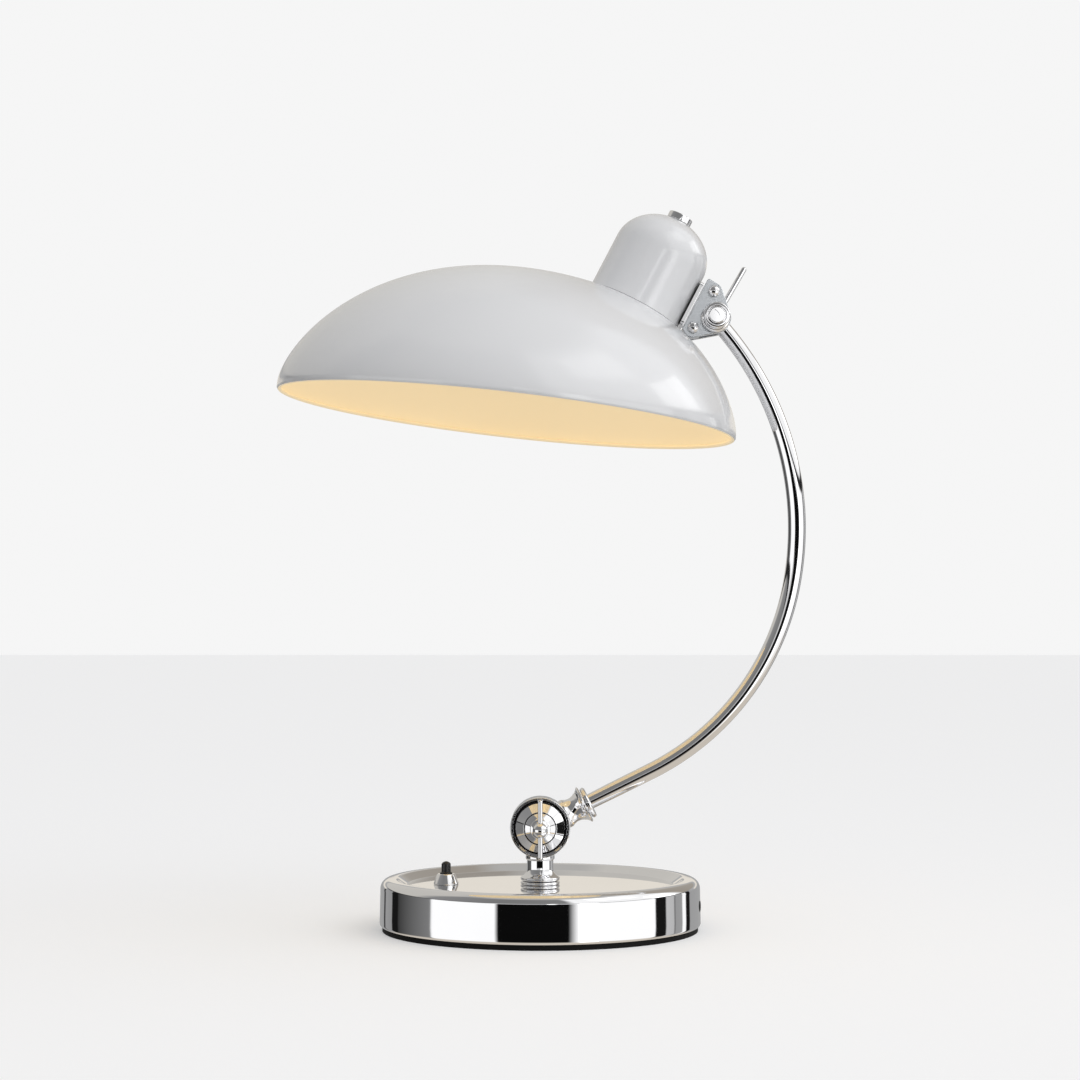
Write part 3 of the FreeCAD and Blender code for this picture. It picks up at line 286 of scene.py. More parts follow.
def satin_finish(colours):
    """Flat steel rubbed along the head's axis, bright but not a mirror."""
    finish = Finish("Satin steel")
    finish.set(Metallic=0.72)
    stretch = finish.add("ShaderNodeMapping")
    stretch.inputs["Scale"].default_value = (1.0, 1.0, 14.0)
    finish.link(finish.place, stretch.inputs["Vector"])
    finish.place = stretch.outputs["Vector"]
    rubbing = finish.noise(90.0)
    finish.colour(finish.shades(rubbing, darker(colours.satin, 0.94), tuple(colours.satin), 0.3, 0.7))
    finish.roughness(finish.spread(finish.noise(140.0, 4.0), 0.16, 0.26))
    finish.bump(finish.noise(300.0, 2.0), 0.06, 0.00002)
    return finish.material


def plain_finish(name, colour, rough, metal=0.0, grain=300.0, depth=0.00003, strength=0.15, **more):
    """A finish with slight mottling, uneven gloss and a fine grain."""
    finish = Finish(name)
    finish.set(Metallic=metal, **more)
    finish.colour(finish.shades(finish.noise(grain / 6), darker(colour, 0.88), tuple(colour), 0.3, 0.7))
    finish.roughness(finish.spread(finish.noise(grain / 3), rough - 0.08, rough + 0.08))
    finish.bump(finish.noise(grain), strength, depth)
    return finish.material


def opal_finish(colours):
    """Milky glass that glows."""
    finish = Finish("Opal bulb")
    finish.set(IOR=1.45, Roughness=0.2, Emission_Strength=1.1, Emission_Color=(*colours.glow, 1),
               Transmission_Weight=0.0)
    finish.colour(finish.shades(finish.noise(20.0), (0.93, 0.90, 0.84), (0.97, 0.95, 0.90)))
    return finish.material


def make_finishes(colours):
    """Every finish of the lamp, by the name of its slot."""
    return {
        "polished_chrome": chrome_finish(colours),
        "white_lacquer": lacquer_finish(colours),
        "lining": painted_bulb_light_lining_finish(colours),
        "satin": satin_finish(colours),
        "black_rubber": plain_finish("Black rubber", colours.pad, 0.62, grain=420.0, depth=0.00008,
                                      Specular_IOR_Level=0.15),
        "black_plastic": plain_finish("Black plastic", colours.black, 0.30, grain=700.0),
        "grey_iron": plain_finish("Cast iron", (0.13, 0.13, 0.135), 0.66, 0.6, grain=260.0, depth=0.0003,
                                  strength=0.5),
        "plated_steel": plain_finish("Zinc plated steel", (0.56, 0.57, 0.58), 0.30, 1.0, grain=180.0),
        "brass": plain_finish("Bright brass", (0.80, 0.60, 0.28), 0.22, 1.0, grain=200.0),
        "cream_ceramic": plain_finish("Glazed ceramic", (0.86, 0.84, 0.78), 0.16, grain=120.0,
                                      Coat_Weight=0.5),
        "opal_glass": opal_finish(colours),
        "cap_aluminium": plain_finish("Bright aluminium", (0.78, 0.78, 0.79), 0.28, 1.0, grain=160.0),
        "fibre": plain_finish("Vulcanised fibre", (0.22, 0.10, 0.05), 0.7, grain=240.0),
    }


finishes = {}


# ------------------------------------------------------------------ mesh helpers
def piece(name, body, nodes, verts, faces, materials, marks=None, sharp=35.0):
    """A finished mesh piece that rides on a body and stands for the named nodes."""
    mesh = bpy.data.meshes.new(name)
    mesh.from_pydata(verts, [], faces)
    for key in materials:
        mesh.materials.append(finishes[key])
    if marks:
        mesh.polygons.foreach_set("material_index", marks)
    mesh.update()
    obj = bpy.data.objects.new(name, mesh)
    bpy.context.scene.collection.objects.link(obj)
    smooth(mesh, sharp)
    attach(obj, body)
    if nodes:
        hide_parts(*nodes)
    return obj


def smooth(mesh, sharp):
    """Smooth shading, with edges sharper than an angle in degrees kept."""
    mesh.polygons.foreach_set("use_smooth", [True] * len(mesh.polygons))
    mesh.set_sharp_from_angle(angle=math.radians(sharp))


def arc(centre_r, centre_z, radius, start, end, steps):
    """Points round a corner, from one angle to another in degrees."""
    turn = [math.radians(start + (end - start) * k / steps) for k in range(steps + 1)]
    return [(centre_r + radius * math.cos(a), centre_z + radius * math.sin(a)) for a in turn]


def lathe(profile, segments, place=Matrix.Identity(4)):
    """Vertices and quads of a profile of (r, z) turned about z: out along its foot, up, back to the axis."""
    verts = []
    faces = []
    rows = []
    for r, z in profile:
        if r < 1e-7:
            rows.append([len(verts)] * segments)
            verts.append(place @ Vector((0, 0, z)))
        else:
            rows.append(list(range(len(verts), len(verts) + segments)))
            for k in range(segments):
                a = 2 * math.pi * k / segments
                verts.append(place @ Vector((r * math.cos(a), r * math.sin(a), z)))
    for low, high in zip(rows, rows[1:]):
        for k in range(segments):
            n = (k + 1) % segments
            corners = [low[k], low[n], high[n], high[k]]
            corners = [c for i, c in enumerate(corners) if c not in corners[:i]]
            if len(corners) > 2:
                faces.append(corners)
    return verts, faces


def through(start, middle, end, steps):
    """Points on the arc from start through middle to end, without its start."""
    (ax, ay), (bx, by), (cx, cy) = start, middle, end
    d = 2 * (ax * (by - cy) + bx * (cy - ay) + cx * (ay - by))
    a2, b2, c2 = ax * ax + ay * ay, bx * bx + by * by, cx * cx + cy * cy
    ox = (a2 * (by - cy) + b2 * (cy - ay) + c2 * (ay - by)) / d
    oy = (a2 * (cx - bx) + b2 * (ax - cx) + c2 * (bx - ax)) / d
    radius = math.hypot(ax - ox, ay - oy)
    first = math.atan2(ay - oy, ax - ox)
    sweep = (math.atan2(cy - oy, cx - ox) - first) % (2 * math.pi)
    halfway = (math.atan2(by - oy, bx - ox) - first) % (2 * math.pi)
    if halfway > sweep:
        sweep -= 2 * math.pi
    turns = [first + sweep * k / steps for k in range(1, steps + 1)]
    return [(ox + radius * math.cos(a), oy + radius * math.sin(a)) for a in turns]


def eased(points, size):
    """The same line with its hard corners rounded a little, and points that keep its flats flat."""
    out = [points[0]]
    for before, here, after in zip(points, points[1:], points[2:]):
        a, b, c = Vector(before), Vector(here), Vector(after)
        run, leave = b - a, c - b
        if run.angle(leave) < math.radians(25):
            out.append(here)
            continue
        cut = min(size, 0.3 * run.length, 0.3 * leave.length)
        start, end = b - run.normalized() * cut, b + leave.normalized() * cut
        out.append(tuple(start - run.normalized() * cut * 0.5))
        for k in range(5):
            t = k / 4
            out.append(tuple(start * (1 - t) ** 2 + b * (2 * t * (1 - t)) + end * t ** 2))
        out.append(tuple(end + leave.normalized() * cut * 0.5))
    return out + [points[-1]]


def drawn(start, *steps, ease=0.2, bends=8):
    """Half section in millimetres. Two numbers draw a line, four an arc through its middle point."""
    points = [start]
    for step in steps:
        if len(step) == 4:
            points += through(points[-1], step[:2], step[2:], bends)
        else:
            points.append(step)
    return [(max(r, 0.0) * MM, z * MM) for r, z in eased(points, ease)]


def ball_end(radius, low, high):
    """Middle and end point of a domed end that rises from its rim to the axis, for drawn()."""
    rise = high - low
    ball = (rise ** 2 + radius ** 2) / (2 * rise)
    half = math.atan(rise / radius)
    return (ball * math.sin(half), high - ball + ball * math.cos(half), 0, high)


def facing_front(centre):
    """Matrix that turns a piece standing on z so that it stands out towards the camera's side."""
    return Matrix.Translation(centre) @ Matrix.Rotation(math.pi / 2, 4, "X")


def facing_back(centre):
    """Matrix that turns a piece standing on z so that it stands out behind the lamp."""
    return Matrix.Translation(centre) @ Matrix.Rotation(-math.pi / 2, 4, "X")


def joined(*parts):
    """One list of vertices and one of faces from several."""
    verts = []
    faces = []
    for more_verts, more_faces in parts:
        shift = len(verts)
        verts += more_verts
        faces += [[c + shift for c in face] for face in more_faces]
    return verts, faces


def turned(name, body, slot, nodes, profile, place, segments=128):
    """A piece turned from its half section, in the finish that its slot names."""
    verts, faces = lathe(profile, segments, place)
    return piece(name, body, nodes, verts, faces, [slot])


# ------------------------------------------------------------------ the head's frame and the dome's surface
def arm_way(sizes, run):
    """Place and heading of the arm's centre line, a given way along it from the hub's axis."""
    def towards(a):
        return Vector((math.cos(a), 0, math.sin(a)))

    here = Vector((0, 0, sizes.hub_z)) + towards(sizes.rise) * min(run, sizes.straight)
    heading = sizes.rise
    left = run - sizes.straight
    for radius, turn in ((sizes.low_bend_r, sizes.low_bend), (sizes.high_bend_r, sizes.high_bend)):
        if left > 0:
            part = min(turn, left / radius)
            centre = here + towards(heading + math.pi / 2) * radius
            heading += part
            here = centre - towards(heading + math.pi / 2) * radius
            left -= turn * radius
    return here, heading


def arm_run(sizes):
    """Length of the arm's centre line from the hub's axis to the pivot."""
    return sizes.straight + sizes.low_bend_r * sizes.low_bend + sizes.high_bend_r * sizes.high_bend


def head_place(head, arm):
    """Matrix from the head's own frame to the lamp's."""
    pivot = arm_way(arm, arm_run(arm))[0]
    turn = Matrix.Rotation(head.tilt, 4, "Y")
    return Matrix.Translation(pivot - turn @ Vector((head.pivot_x, 0, head.pivot_z))) @ turn


def cubic(points, share):
    """Place and unit heading at a share of a cubic curve through four control points."""
    rest = 1 - share
    weights = (rest ** 3, 3 * rest ** 2 * share, 3 * rest * share ** 2, share ** 3)
    place = [sum(w * p[i] for w, p in zip(weights, points)) for i in (0, 1)]
    slopes = (rest ** 2, 2 * rest * share, share ** 2)
    way = [sum(w * (b[i] - a[i]) for w, a, b in zip(slopes, points, points[1:])) for i in (0, 1)]
    size = math.hypot(*way)
    return place, (way[0] / size, way[1] / size)


def polar(origin, reach, turn):
    """The point that lies a reach away from the origin at a turn."""
    return (origin[0] + reach * math.cos(turn), origin[1] + reach * math.sin(turn))


def dome_sides(head):
    """Front and back profile of the dome from the rim up to the neck."""
    rim = (head.rim_x, head.rim_z)
    front_rim = polar(rim, -head.rim_r, head.rim_turn)
    back_rim = polar(rim, head.rim_r, head.rim_turn)
    front_top = (-head.top_r, head.top_z)
    back_top = (head.top_r, head.top_z)
    square = head.rim_turn + math.pi / 2
    front = (front_rim, polar(front_rim, head.front_rise, square + head.front_lean),
             polar(front_top, head.front_shoulder, math.pi + head.shoulder_slope), front_top)
    back = (back_rim, polar(back_rim, head.back_rise, square + head.back_lean),
            polar(back_top, head.back_shoulder, -head.shoulder_slope), back_top)
    return front, back


def dome_hoop(sides, share, inset):
    """Centre, reach and direction of the circle that joins both profiles."""
    (fx, fz), (fu, fw) = cubic(sides[0], share)
    (bx, bz), (bu, bw) = cubic(sides[1], share)
    low = Vector((fx + inset * fw, 0, fz - inset * fu))
    high = Vector((bx - inset * bw, 0, bz + inset * bu))
    chord = high - low
    return (low + high) / 2, chord.length / 2, chord.normalized()


def dome_ring(sides, share, inset, segments):
    """Points of one hoop of the dome."""
    centre, reach, way = dome_hoop(sides, share, inset)
    points = []
    for k in range(segments):
        a = 2 * math.pi * k / segments
        points.append(centre + way * reach * math.cos(a) + Vector((0, reach * math.sin(a), 0)))
    return points


def dome_height(sides, x, y, inset):
    """Height of the dome's skin over a point near the neck, in the head's frame."""
    def along(share):
        centre, reach, way = dome_hoop(sides, share, inset)
        run = (x - centre.x) / way.x
        return run ** 2 + y ** 2 - reach ** 2, centre.z + way.z * run

    low, high = 0.5, 1.0
    for _ in range(40):
        middle = (low + high) / 2
        if along(middle)[0] < 0:
            low = middle
        else:
            high = middle
    return along(low)[1]


# ------------------------------------------------------------------ pieces
def build_shade(head, arm):
    """The spun dome: white outside, lined inside, with a rolled bead round its rim."""
    segments = 256
    steps = 72
    sides = dome_sides(head)
    place = head_place(head, arm)
    shares = [(k / steps) ** 1.15 for k in range(steps + 1)]
    rings = [dome_ring(sides, s, 0.0, segments) for s in shares]
    outer_rows = len(rings)
    rings += [dome_ring(sides, s, head.wall, segments) for s in reversed(shares)]
    verts = [place @ p for ring in rings for p in ring]
    faces = []
    marks = []
    rows = len(rings)
    for row in range(rows):
        after = (row + 1) % rows
        for k in range(segments):
            n = (k + 1) % segments
            faces.append((row * segments + k, row * segments + n, after * segments + n, after * segments + k))
            marks.append(0 if row < outer_rows or row == rows - 1 else 1)
    start = len(verts)
    turn = head.rim_turn
    out = Vector((math.cos(turn), 0, math.sin(turn)))
    up = Vector((-math.sin(turn), 0, math.cos(turn)))
    centre = Vector((head.rim_x, 0, head.rim_z))
    around = 20
    for k in range(segments):
        a = 2 * math.pi * k / segments
        spoke = out * math.cos(a) + Vector((0, math.sin(a), 0))
        for j in range(around):
            b = 2 * math.pi * j / around
            r = head.rim_r - head.bead_inset + head.bead_r * math.cos(b)
            verts.append(place @ (centre + spoke * r + up * head.bead_r * math.sin(b)))
    for k in range(segments):
        n = (k + 1) % segments
        for j in range(around):
            m = (j + 1) % around
            faces.append((start + k * around + j, start + n * around + j, start + n * around + m,
                          start + k * around + m))
            inside = 3 * around // 8 <= j < 7 * around // 8
            marks.append(1 if inside else 0)
    return piece("shade_dome", "head", ["shade"], verts, faces,
                 ["white_lacquer", "lining"], marks, 50)


def build_neck(head, arm):
    """The neck, trimmed where it meets the dome, and rounded over at its top."""
    segments = 160
    sides = dome_sides(head)
    place = head_place(head, arm)
    gap = 0.15 * MM
    wall = 1.0 * MM
    straight = 14
    curve = 26
    seat_share = math.asin(head.knob_seat / head.neck_r)

    def column(k, inset):
        a = 2 * math.pi * k / segments
        r = head.neck_r - inset
        low = dome_height(sides, head.neck_r * math.cos(a), head.neck_r * math.sin(a), -gap)
        points = [(r, low + (head.neck_straight - low) * j / straight) for j in range(straight)]
        for j in range(curve + 1):
            b = (math.pi / 2 - seat_share) * j / curve
            points.append((r * math.cos(b), head.neck_straight + (head.neck_dome - inset) * math.sin(b)))
        return [Vector((q * math.cos(a), q * math.sin(a), z)) for q, z in points]

    count = straight + curve + 1
    verts = []
    for k in range(segments):
        verts += [place @ p for p in column(k, 0.0)]
        verts += [place @ p for p in reversed(column(k, wall))]
    rows = 2 * count
    faces = []
    for k in range(segments):
        n = (k + 1) % segments
        for j in range(rows):
            m = (j + 1) % rows
            faces.append((k * rows + j, n * rows + j, n * rows + m, k * rows + m))
    return piece("neck_shell", "head", ["neck"], verts, faces, ["white_lacquer"])


# The hole that the stem's foot goes through
FOOT_HOLE_R = 5.1 * MM


def build_base(sizes):
    """The spun base cover: flat disc, slope up to the crest, rounded shoulder, curled lower edge."""
    segments = 360
    side_r = sizes.radius
    top_r = side_r - sizes.draft
    crest = sizes.crest
    shoulder = sizes.shoulder_r
    brow = sizes.brow_r
    curl = sizes.curl_r
    pad = sizes.pad_h
    slope = sizes.dish_slope
    bends = sizes.crest_bend + sizes.dish_bend
    straight = (sizes.dish_drop - bends * (1 - math.cos(slope))) / math.tan(slope)
    crest_r = sizes.dish_r + straight + bends * math.sin(slope)
    corner_r = top_r - shoulder
    lean = math.acos((corner_r - crest_r) / (brow - shoulder))
    corner_z = crest - brow + (brow - shoulder) * math.sin(lean)
    turn = math.degrees(slope)
    dish_z = crest - sizes.dish_drop
    profile = [(side_r - curl - sizes.lip, pad + sizes.wall), (side_r - curl - sizes.lip, pad),
               (side_r - curl - 0.2 * MM, pad)]
    profile += arc(side_r - curl, pad + curl, curl, -90, 0, 8)
    profile += [(side_r - sizes.draft * k / 4, pad + curl + (corner_z - pad - curl) * k / 4)
                for k in range(1, 4)]
    profile += arc(corner_r, corner_z, shoulder, 0, math.degrees(lean), 20)
    profile += arc(crest_r, crest - brow, brow, math.degrees(lean), 90, 8)[1:]
    profile += arc(crest_r, crest - sizes.crest_bend, sizes.crest_bend, 90, 90 + turn, 10)[1:]
    profile += arc(sizes.dish_r, dish_z + sizes.dish_bend, sizes.dish_bend, turn - 90, -90, 8)
    profile += [(sizes.dish_r * s, dish_z) for s in (0.998, 0.8, 0.6, 0.4, 0.2)]
    profile += [(FOOT_HOLE_R, dish_z), (FOOT_HOLE_R, dish_z - sizes.wall)]
    verts, faces = lathe(profile, segments)
    return piece("base_shell", "base", ["base_cover"], verts, faces, ["polished_chrome"],
                 sharp=50)


def build_switch(sizes):
    """The push switch: a chrome cone, a black sleeve and the button."""
    dish = (sizes.crest - sizes.dish_drop) / MM
    cone_h, button_h, button_foot, button_r = 6.4, 7.6, 3.2, 2.86
    top = dish + cone_h
    tip = top + button_h
    place = Matrix.Translation((sizes.switch_x, 0, 0))
    turned("switch_cone", "base", "polished_chrome", ["switch_collar"],
           drawn((3.3, dish), (7.4, dish), (7.7, dish + 0.5), (5.7, top - 0.5), (5.2, top), (3.26, top),
                 (3.26, top - 0.8), ease=0.15), place)
    turned("switch_ring", "base", "black_plastic", ["switch_sleeve"],
           drawn((2.92, top), (3.85, top), (3.85, top + 0.4), (3.3, top + 0.95, 2.92, top + 1.2), ease=0.1),
           place)
    turned("switch_cap", "button", "black_plastic", ["switch_button"],
           drawn((0, top - button_foot), (button_r, top - button_foot), (button_r, tip - 1.6),
                 ball_end(button_r, tip - 1.6, tip)), place)


def build_stem(base, arm, sizes):
    """The stem's foot, and the stem with the rear half of the hub."""
    dish = (base.crest - base.dish_drop) / MM
    bead = sizes.bead_r / MM
    neck = bead - 0.9
    radius = sizes.stem_r / MM
    turned("stem_bead", "base", "polished_chrome", ["stem_foot"],
           drawn((3.2, 4.2), (4.35, 4.2), (4.95, 4.8), (4.95, dish), (neck, dish),
                 (bead, dish + 1, neck, dish + 2), (5.5, dish + 2), (5.5, dish + 14.7), (4.9, dish + 15.3),
                 (3.2, dish + 15.3), (3.2, 4.2), ease=0.1), Matrix.Identity(4))
    low = dish + 2.3
    flare = low + 2.6
    rows = drawn((0, dish + 15.6), (5.56, dish + 15.6), (5.56, low), (neck, low),
                 (bead, low + 1.3, neck, low + 2.6), (radius + 1.0, flare + 2.07, radius, flare + 4.6),
                 (radius, dish + 14.9),
                 (radius + 0.5, dish + 15.3), (radius + 0.8, dish + 15.8), (radius + 0.8, dish + 17.8),
                 (radius, dish + 17.8), (radius, dish + 18.2), ease=0.12)
    count = 128
    verts, faces = lathe(rows, count)
    shift = len(verts)
    hub_z = arm.hub_z
    for k in range(count):
        a = 2 * math.pi * k / count
        x, y = sizes.stem_r * math.cos(a), sizes.stem_r * math.sin(a)
        reach = sizes.ring_r + 0.3 * MM if y < sizes.split else sizes.hub_r - 1.5 * MM
        verts.append(Vector((x, y, hub_z - math.sqrt(reach ** 2 - x ** 2))))
    faces += [[shift - count + k, shift - count + (k + 1) % count, shift + (k + 1) % count, shift + k]
              for k in range(count)]
    verts.append(Vector((0, 0, hub_z - sizes.ring_r - 0.3 * MM)))
    faces += [[shift + k, shift + (k + 1) % count, shift + count] for k in range(count)]
    depth, hub = sizes.depth / MM, sizes.hub_r / MM
    back = lathe(drawn((0, sizes.split / MM), (hub, sizes.split / MM), (hub, depth - 2.5),
                       (hub - 0.732, depth - 0.732, hub - 2.5, depth), (9.0, depth), (9.0, depth - 3.0),
                       (0, depth - 3.0), ease=0.15), 160, facing_back(Vector((0, 0, hub_z))))
    verts, faces = joined((verts, faces), back)
    piece("stem_post", "stem", ["stem"], verts, faces, ["polished_chrome"])


def build_hub(arm, sizes):
    """The front half of the hub with the arm's collar, and the ring nut on the collar."""
    centre = Vector((0, 0, arm.hub_z))
    depth, hub, ring = sizes.depth / MM, sizes.hub_r / MM, sizes.ring_r / MM
    floor = (sizes.depth - sizes.cup_depth) / MM
    cup, floor_r = sizes.cup_r / MM, sizes.floor_r / MM
    split = sizes.split / MM
    rows = drawn((0, split), (hub, split), (hub, depth - 2.6), (ring, depth - 2.2), (ring, depth - 0.5),
                 (ring - 0.147, depth - 0.147, ring - 0.5, depth), (cup + 0.2, depth), (cup, depth - 0.2),
                 (floor_r, floor), (0, floor), ease=0.12)
    drum = lathe(rows, 200, facing_front(centre))
    along = Matrix.Translation(centre) @ Matrix.Rotation(math.pi / 2 - arm.rise, 4, "Y")
    root, waist, flange = sizes.collar_root_r / MM, sizes.collar_waist_r / MM, sizes.collar_flange_r / MM
    end = sizes.collar_end / MM
    rows = drawn((root, 18.0), (root, 18.6), (waist, 22.6, waist + 1.2, 26.8),
                 (flange - 1.9, end - 2.4, flange - 0.2, end - 1.2), (flange, end - 0.5), (flange - 0.9, end),
                 (0, end), ease=0.1)
    segments = 128
    verts, faces = lathe(rows, segments, along)
    inner = along.inverted()
    for k in range(segments):
        spot = inner @ verts[k]
        reach = sizes.hub_r - 0.9 * MM if spot.y < -sizes.split else sizes.ring_r
        spot.z = math.sqrt(reach ** 2 - spot.x ** 2)
        verts[k] = along @ spot
    verts.append(along @ Vector((0, 0, sizes.ring_r)))
    faces += [[(k + 1) % segments, k, len(verts) - 1] for k in range(segments)]
    verts, faces = joined(drum, (verts, faces))
    piece("hub_front", "arm", ["arm_hub"], verts, faces, ["polished_chrome"])
    low, nut = end + 0.4, sizes.nut_r / MM
    turned("hub_ring_nut", "arm", "polished_chrome", ["collar_nut"],
           drawn((4.7, low), (nut - 0.9, low), (nut, low + 0.9), (nut, low + 1.8),
                 (nut - 0.4, low + 2.6, nut - 1.3, low + 3.0), (5.4, low + 3.0), (4.7, low + 2.4), (4.7, low),
                 ease=0.1), along)


def build_clamp(arm, sizes):
    """The turned clamp knob with its ball end, and the cross bar through it."""
    floor = (sizes.depth - sizes.cup_depth) / MM + 0.3
    base, step_r, boss_r = sizes.knob_r / MM, sizes.step_r / MM, sizes.boss_r / MM
    waist, throat, ball = sizes.waist_r / MM, sizes.throat_r / MM, sizes.ball_r / MM
    step = floor + sizes.step_h / MM
    boss = step + 2.6
    neck = (sizes.bar_y - sizes.bar_r) / MM - 1.6
    ball_y = sizes.ball_y / MM
    join = ball_y - math.sqrt(ball ** 2 - throat ** 2)
    centre = Vector((0, 0, arm.hub_z))
    turned("clamp_turning", "clamp", "polished_chrome", ["clamp_knob"],
           drawn((0, floor), (base - 0.4, floor), (base, floor + 0.4),
                 (base, step - 5.0), (base - 0.4, step - 4.6), (step_r + 0.3, step), (boss_r, step),
                 (boss_r, step + 0.5), (waist + 0.5, boss), (waist, boss + 0.3), (waist - 0.4, boss + 0.8),
                 (throat + 0.6, neck - 1.2, throat, neck), (throat, join), (ball, ball_y, 0, ball_y + ball),
                 ease=0.15, bends=16), facing_front(centre), segments=160)
    half, radius = sizes.bar_length / MM / 2, sizes.bar_r / MM
    turned("clamp_bar", "clamp", "polished_chrome", ["tommy_bar"],
           drawn((0, -half), (radius * 0.707, -half + radius * 0.293, radius, -half + radius),
                 (radius, half - radius), (radius * 0.707, half - radius * 0.293, 0, half)),
           Matrix.Translation((0, -sizes.bar_y, arm.hub_z)), segments=48)


def tree_input(tree, name, kind, value):
    """Adds a named input to a tree and gives its identifier."""
    socket = tree.interface.new_socket(name=name, in_out="INPUT", socket_type=kind)
    socket.default_value = value
    return socket.identifier


def grown(obj, tree, values, name):
    """Runs a tree on an object, keeps the result as a plain mesh object and takes the first one away."""
    modifier = obj.modifiers.new("make", "NODES")
    modifier.node_group = tree
    for identifier, value in values.items():
        modifier[identifier] = value
    shape = obj.evaluated_get(bpy.context.evaluated_depsgraph_get())
    mesh = bpy.data.meshes.new_from_object(shape)
    obj.modifiers.remove(modifier)
    bpy.data.objects.remove(obj)
    mesh.name = name
    made = bpy.data.objects.new(name, mesh)
    bpy.context.scene.collection.objects.link(made)
    return made


def tube_tree():
    """Tree that sweeps a round tube along a line, with its own radius at four places."""
    tree = bpy.data.node_groups.new("Bowed tube", "GeometryNodeTree")
    tree.interface.new_socket(name="Line", in_out="INPUT", socket_type="NodeSocketGeometry")
    names = ("Length", "Low place", "Bow place", "Root radius", "Low radius", "Bow radius", "Top radius")
    sockets = {name: tree_input(tree, name, "NodeSocketFloat", 0.005) for name in names}
    sockets["Finish"] = tree.interface.new_socket(name="Finish", in_out="INPUT",
                                                  socket_type="NodeSocketMaterial").identifier
    tree.interface.new_socket(name="Tube", in_out="OUTPUT", socket_type="NodeSocketGeometry")
    given = tree.nodes.new("NodeGroupInput").outputs
    share = tree.nodes.new("GeometryNodeSplineParameter")
    radius = given["Root radius"]
    here = share.outputs["Length"]
    for start, end, size in ((0.0, given["Low place"], given["Low radius"]),
                             (given["Low place"], given["Bow place"], given["Bow radius"]),
                             (given["Bow place"], given["Length"], given["Top radius"])):
        ease = tree.nodes.new("ShaderNodeMapRange")
        ease.interpolation_type = "SMOOTHSTEP"
        mix = tree.nodes.new("ShaderNodeMix")
        tree.links.new(here, ease.inputs["Value"])
        for value, socket in ((start, ease.inputs["From Min"]), (end, ease.inputs["From Max"]),
                              (radius, mix.inputs[2]), (size, mix.inputs[3])):
            if value == 0.0:
                socket.default_value = 0.0
            else:
                tree.links.new(value, socket)
        tree.links.new(ease.outputs["Result"], mix.inputs["Factor"])
        radius = mix.outputs[0]
    ring = tree.nodes.new("GeometryNodeCurvePrimitiveCircle")
    ring.inputs["Resolution"].default_value = 64
    ring.inputs["Radius"].default_value = 1.0
    sweep = tree.nodes.new("GeometryNodeCurveToMesh")
    sweep.inputs["Fill Caps"].default_value = True
    tree.links.new(given["Line"], sweep.inputs["Curve"])
    tree.links.new(ring.outputs[0], sweep.inputs["Profile Curve"])
    tree.links.new(radius, sweep.inputs["Scale"])
    end_tree(tree, sweep.outputs[0], given["Finish"])
    return tree, sockets


def end_tree(tree, geometry, finish):
    """Realize Instances and Set Material, the last nodes of every tree."""
    real = tree.nodes.new("GeometryNodeRealizeInstances")
    dress = tree.nodes.new("GeometryNodeSetMaterial")
    out = tree.nodes.new("NodeGroupOutput")
    tree.links.new(geometry, real.inputs[0])
    tree.links.new(real.outputs[0], dress.inputs["Geometry"])
    tree.links.new(finish, dress.inputs["Material"])
    tree.links.new(dress.outputs[0], out.inputs[0])


def build_arm(sizes):
    """The bowed tube, swept along the arm's line by its tree."""
    end = arm_run(sizes) - sizes.eye_r - 0.1 * MM
    count = 320
    data = bpy.data.curves.new("arm_line", "CURVE")
    data.dimensions = "3D"
    line = data.splines.new("POLY")
    line.points.add(count)
    for k, point in enumerate(line.points):
        point.co = (*arm_way(sizes, sizes.start + (end - sizes.start) * k / count)[0], 1)
    guide = bpy.data.objects.new("arm_line", data)
    bpy.context.scene.collection.objects.link(guide)
    tree, sockets = tube_tree()
    values = {"Length": end - sizes.start, "Low place": sizes.low_at - sizes.start,
              "Bow place": sizes.bow_at - sizes.start, "Root radius": sizes.root_r, "Low radius": sizes.low_r,
              "Bow radius": sizes.bow_r, "Top radius": sizes.top_r, "Finish": finishes["polished_chrome"]}
    tube = grown(guide, tree, {sockets[key]: value for key, value in values.items()}, "arm_bow")
    smooth(tube.data, 40)
    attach(tube, "arm")
    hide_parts("arm_tube")


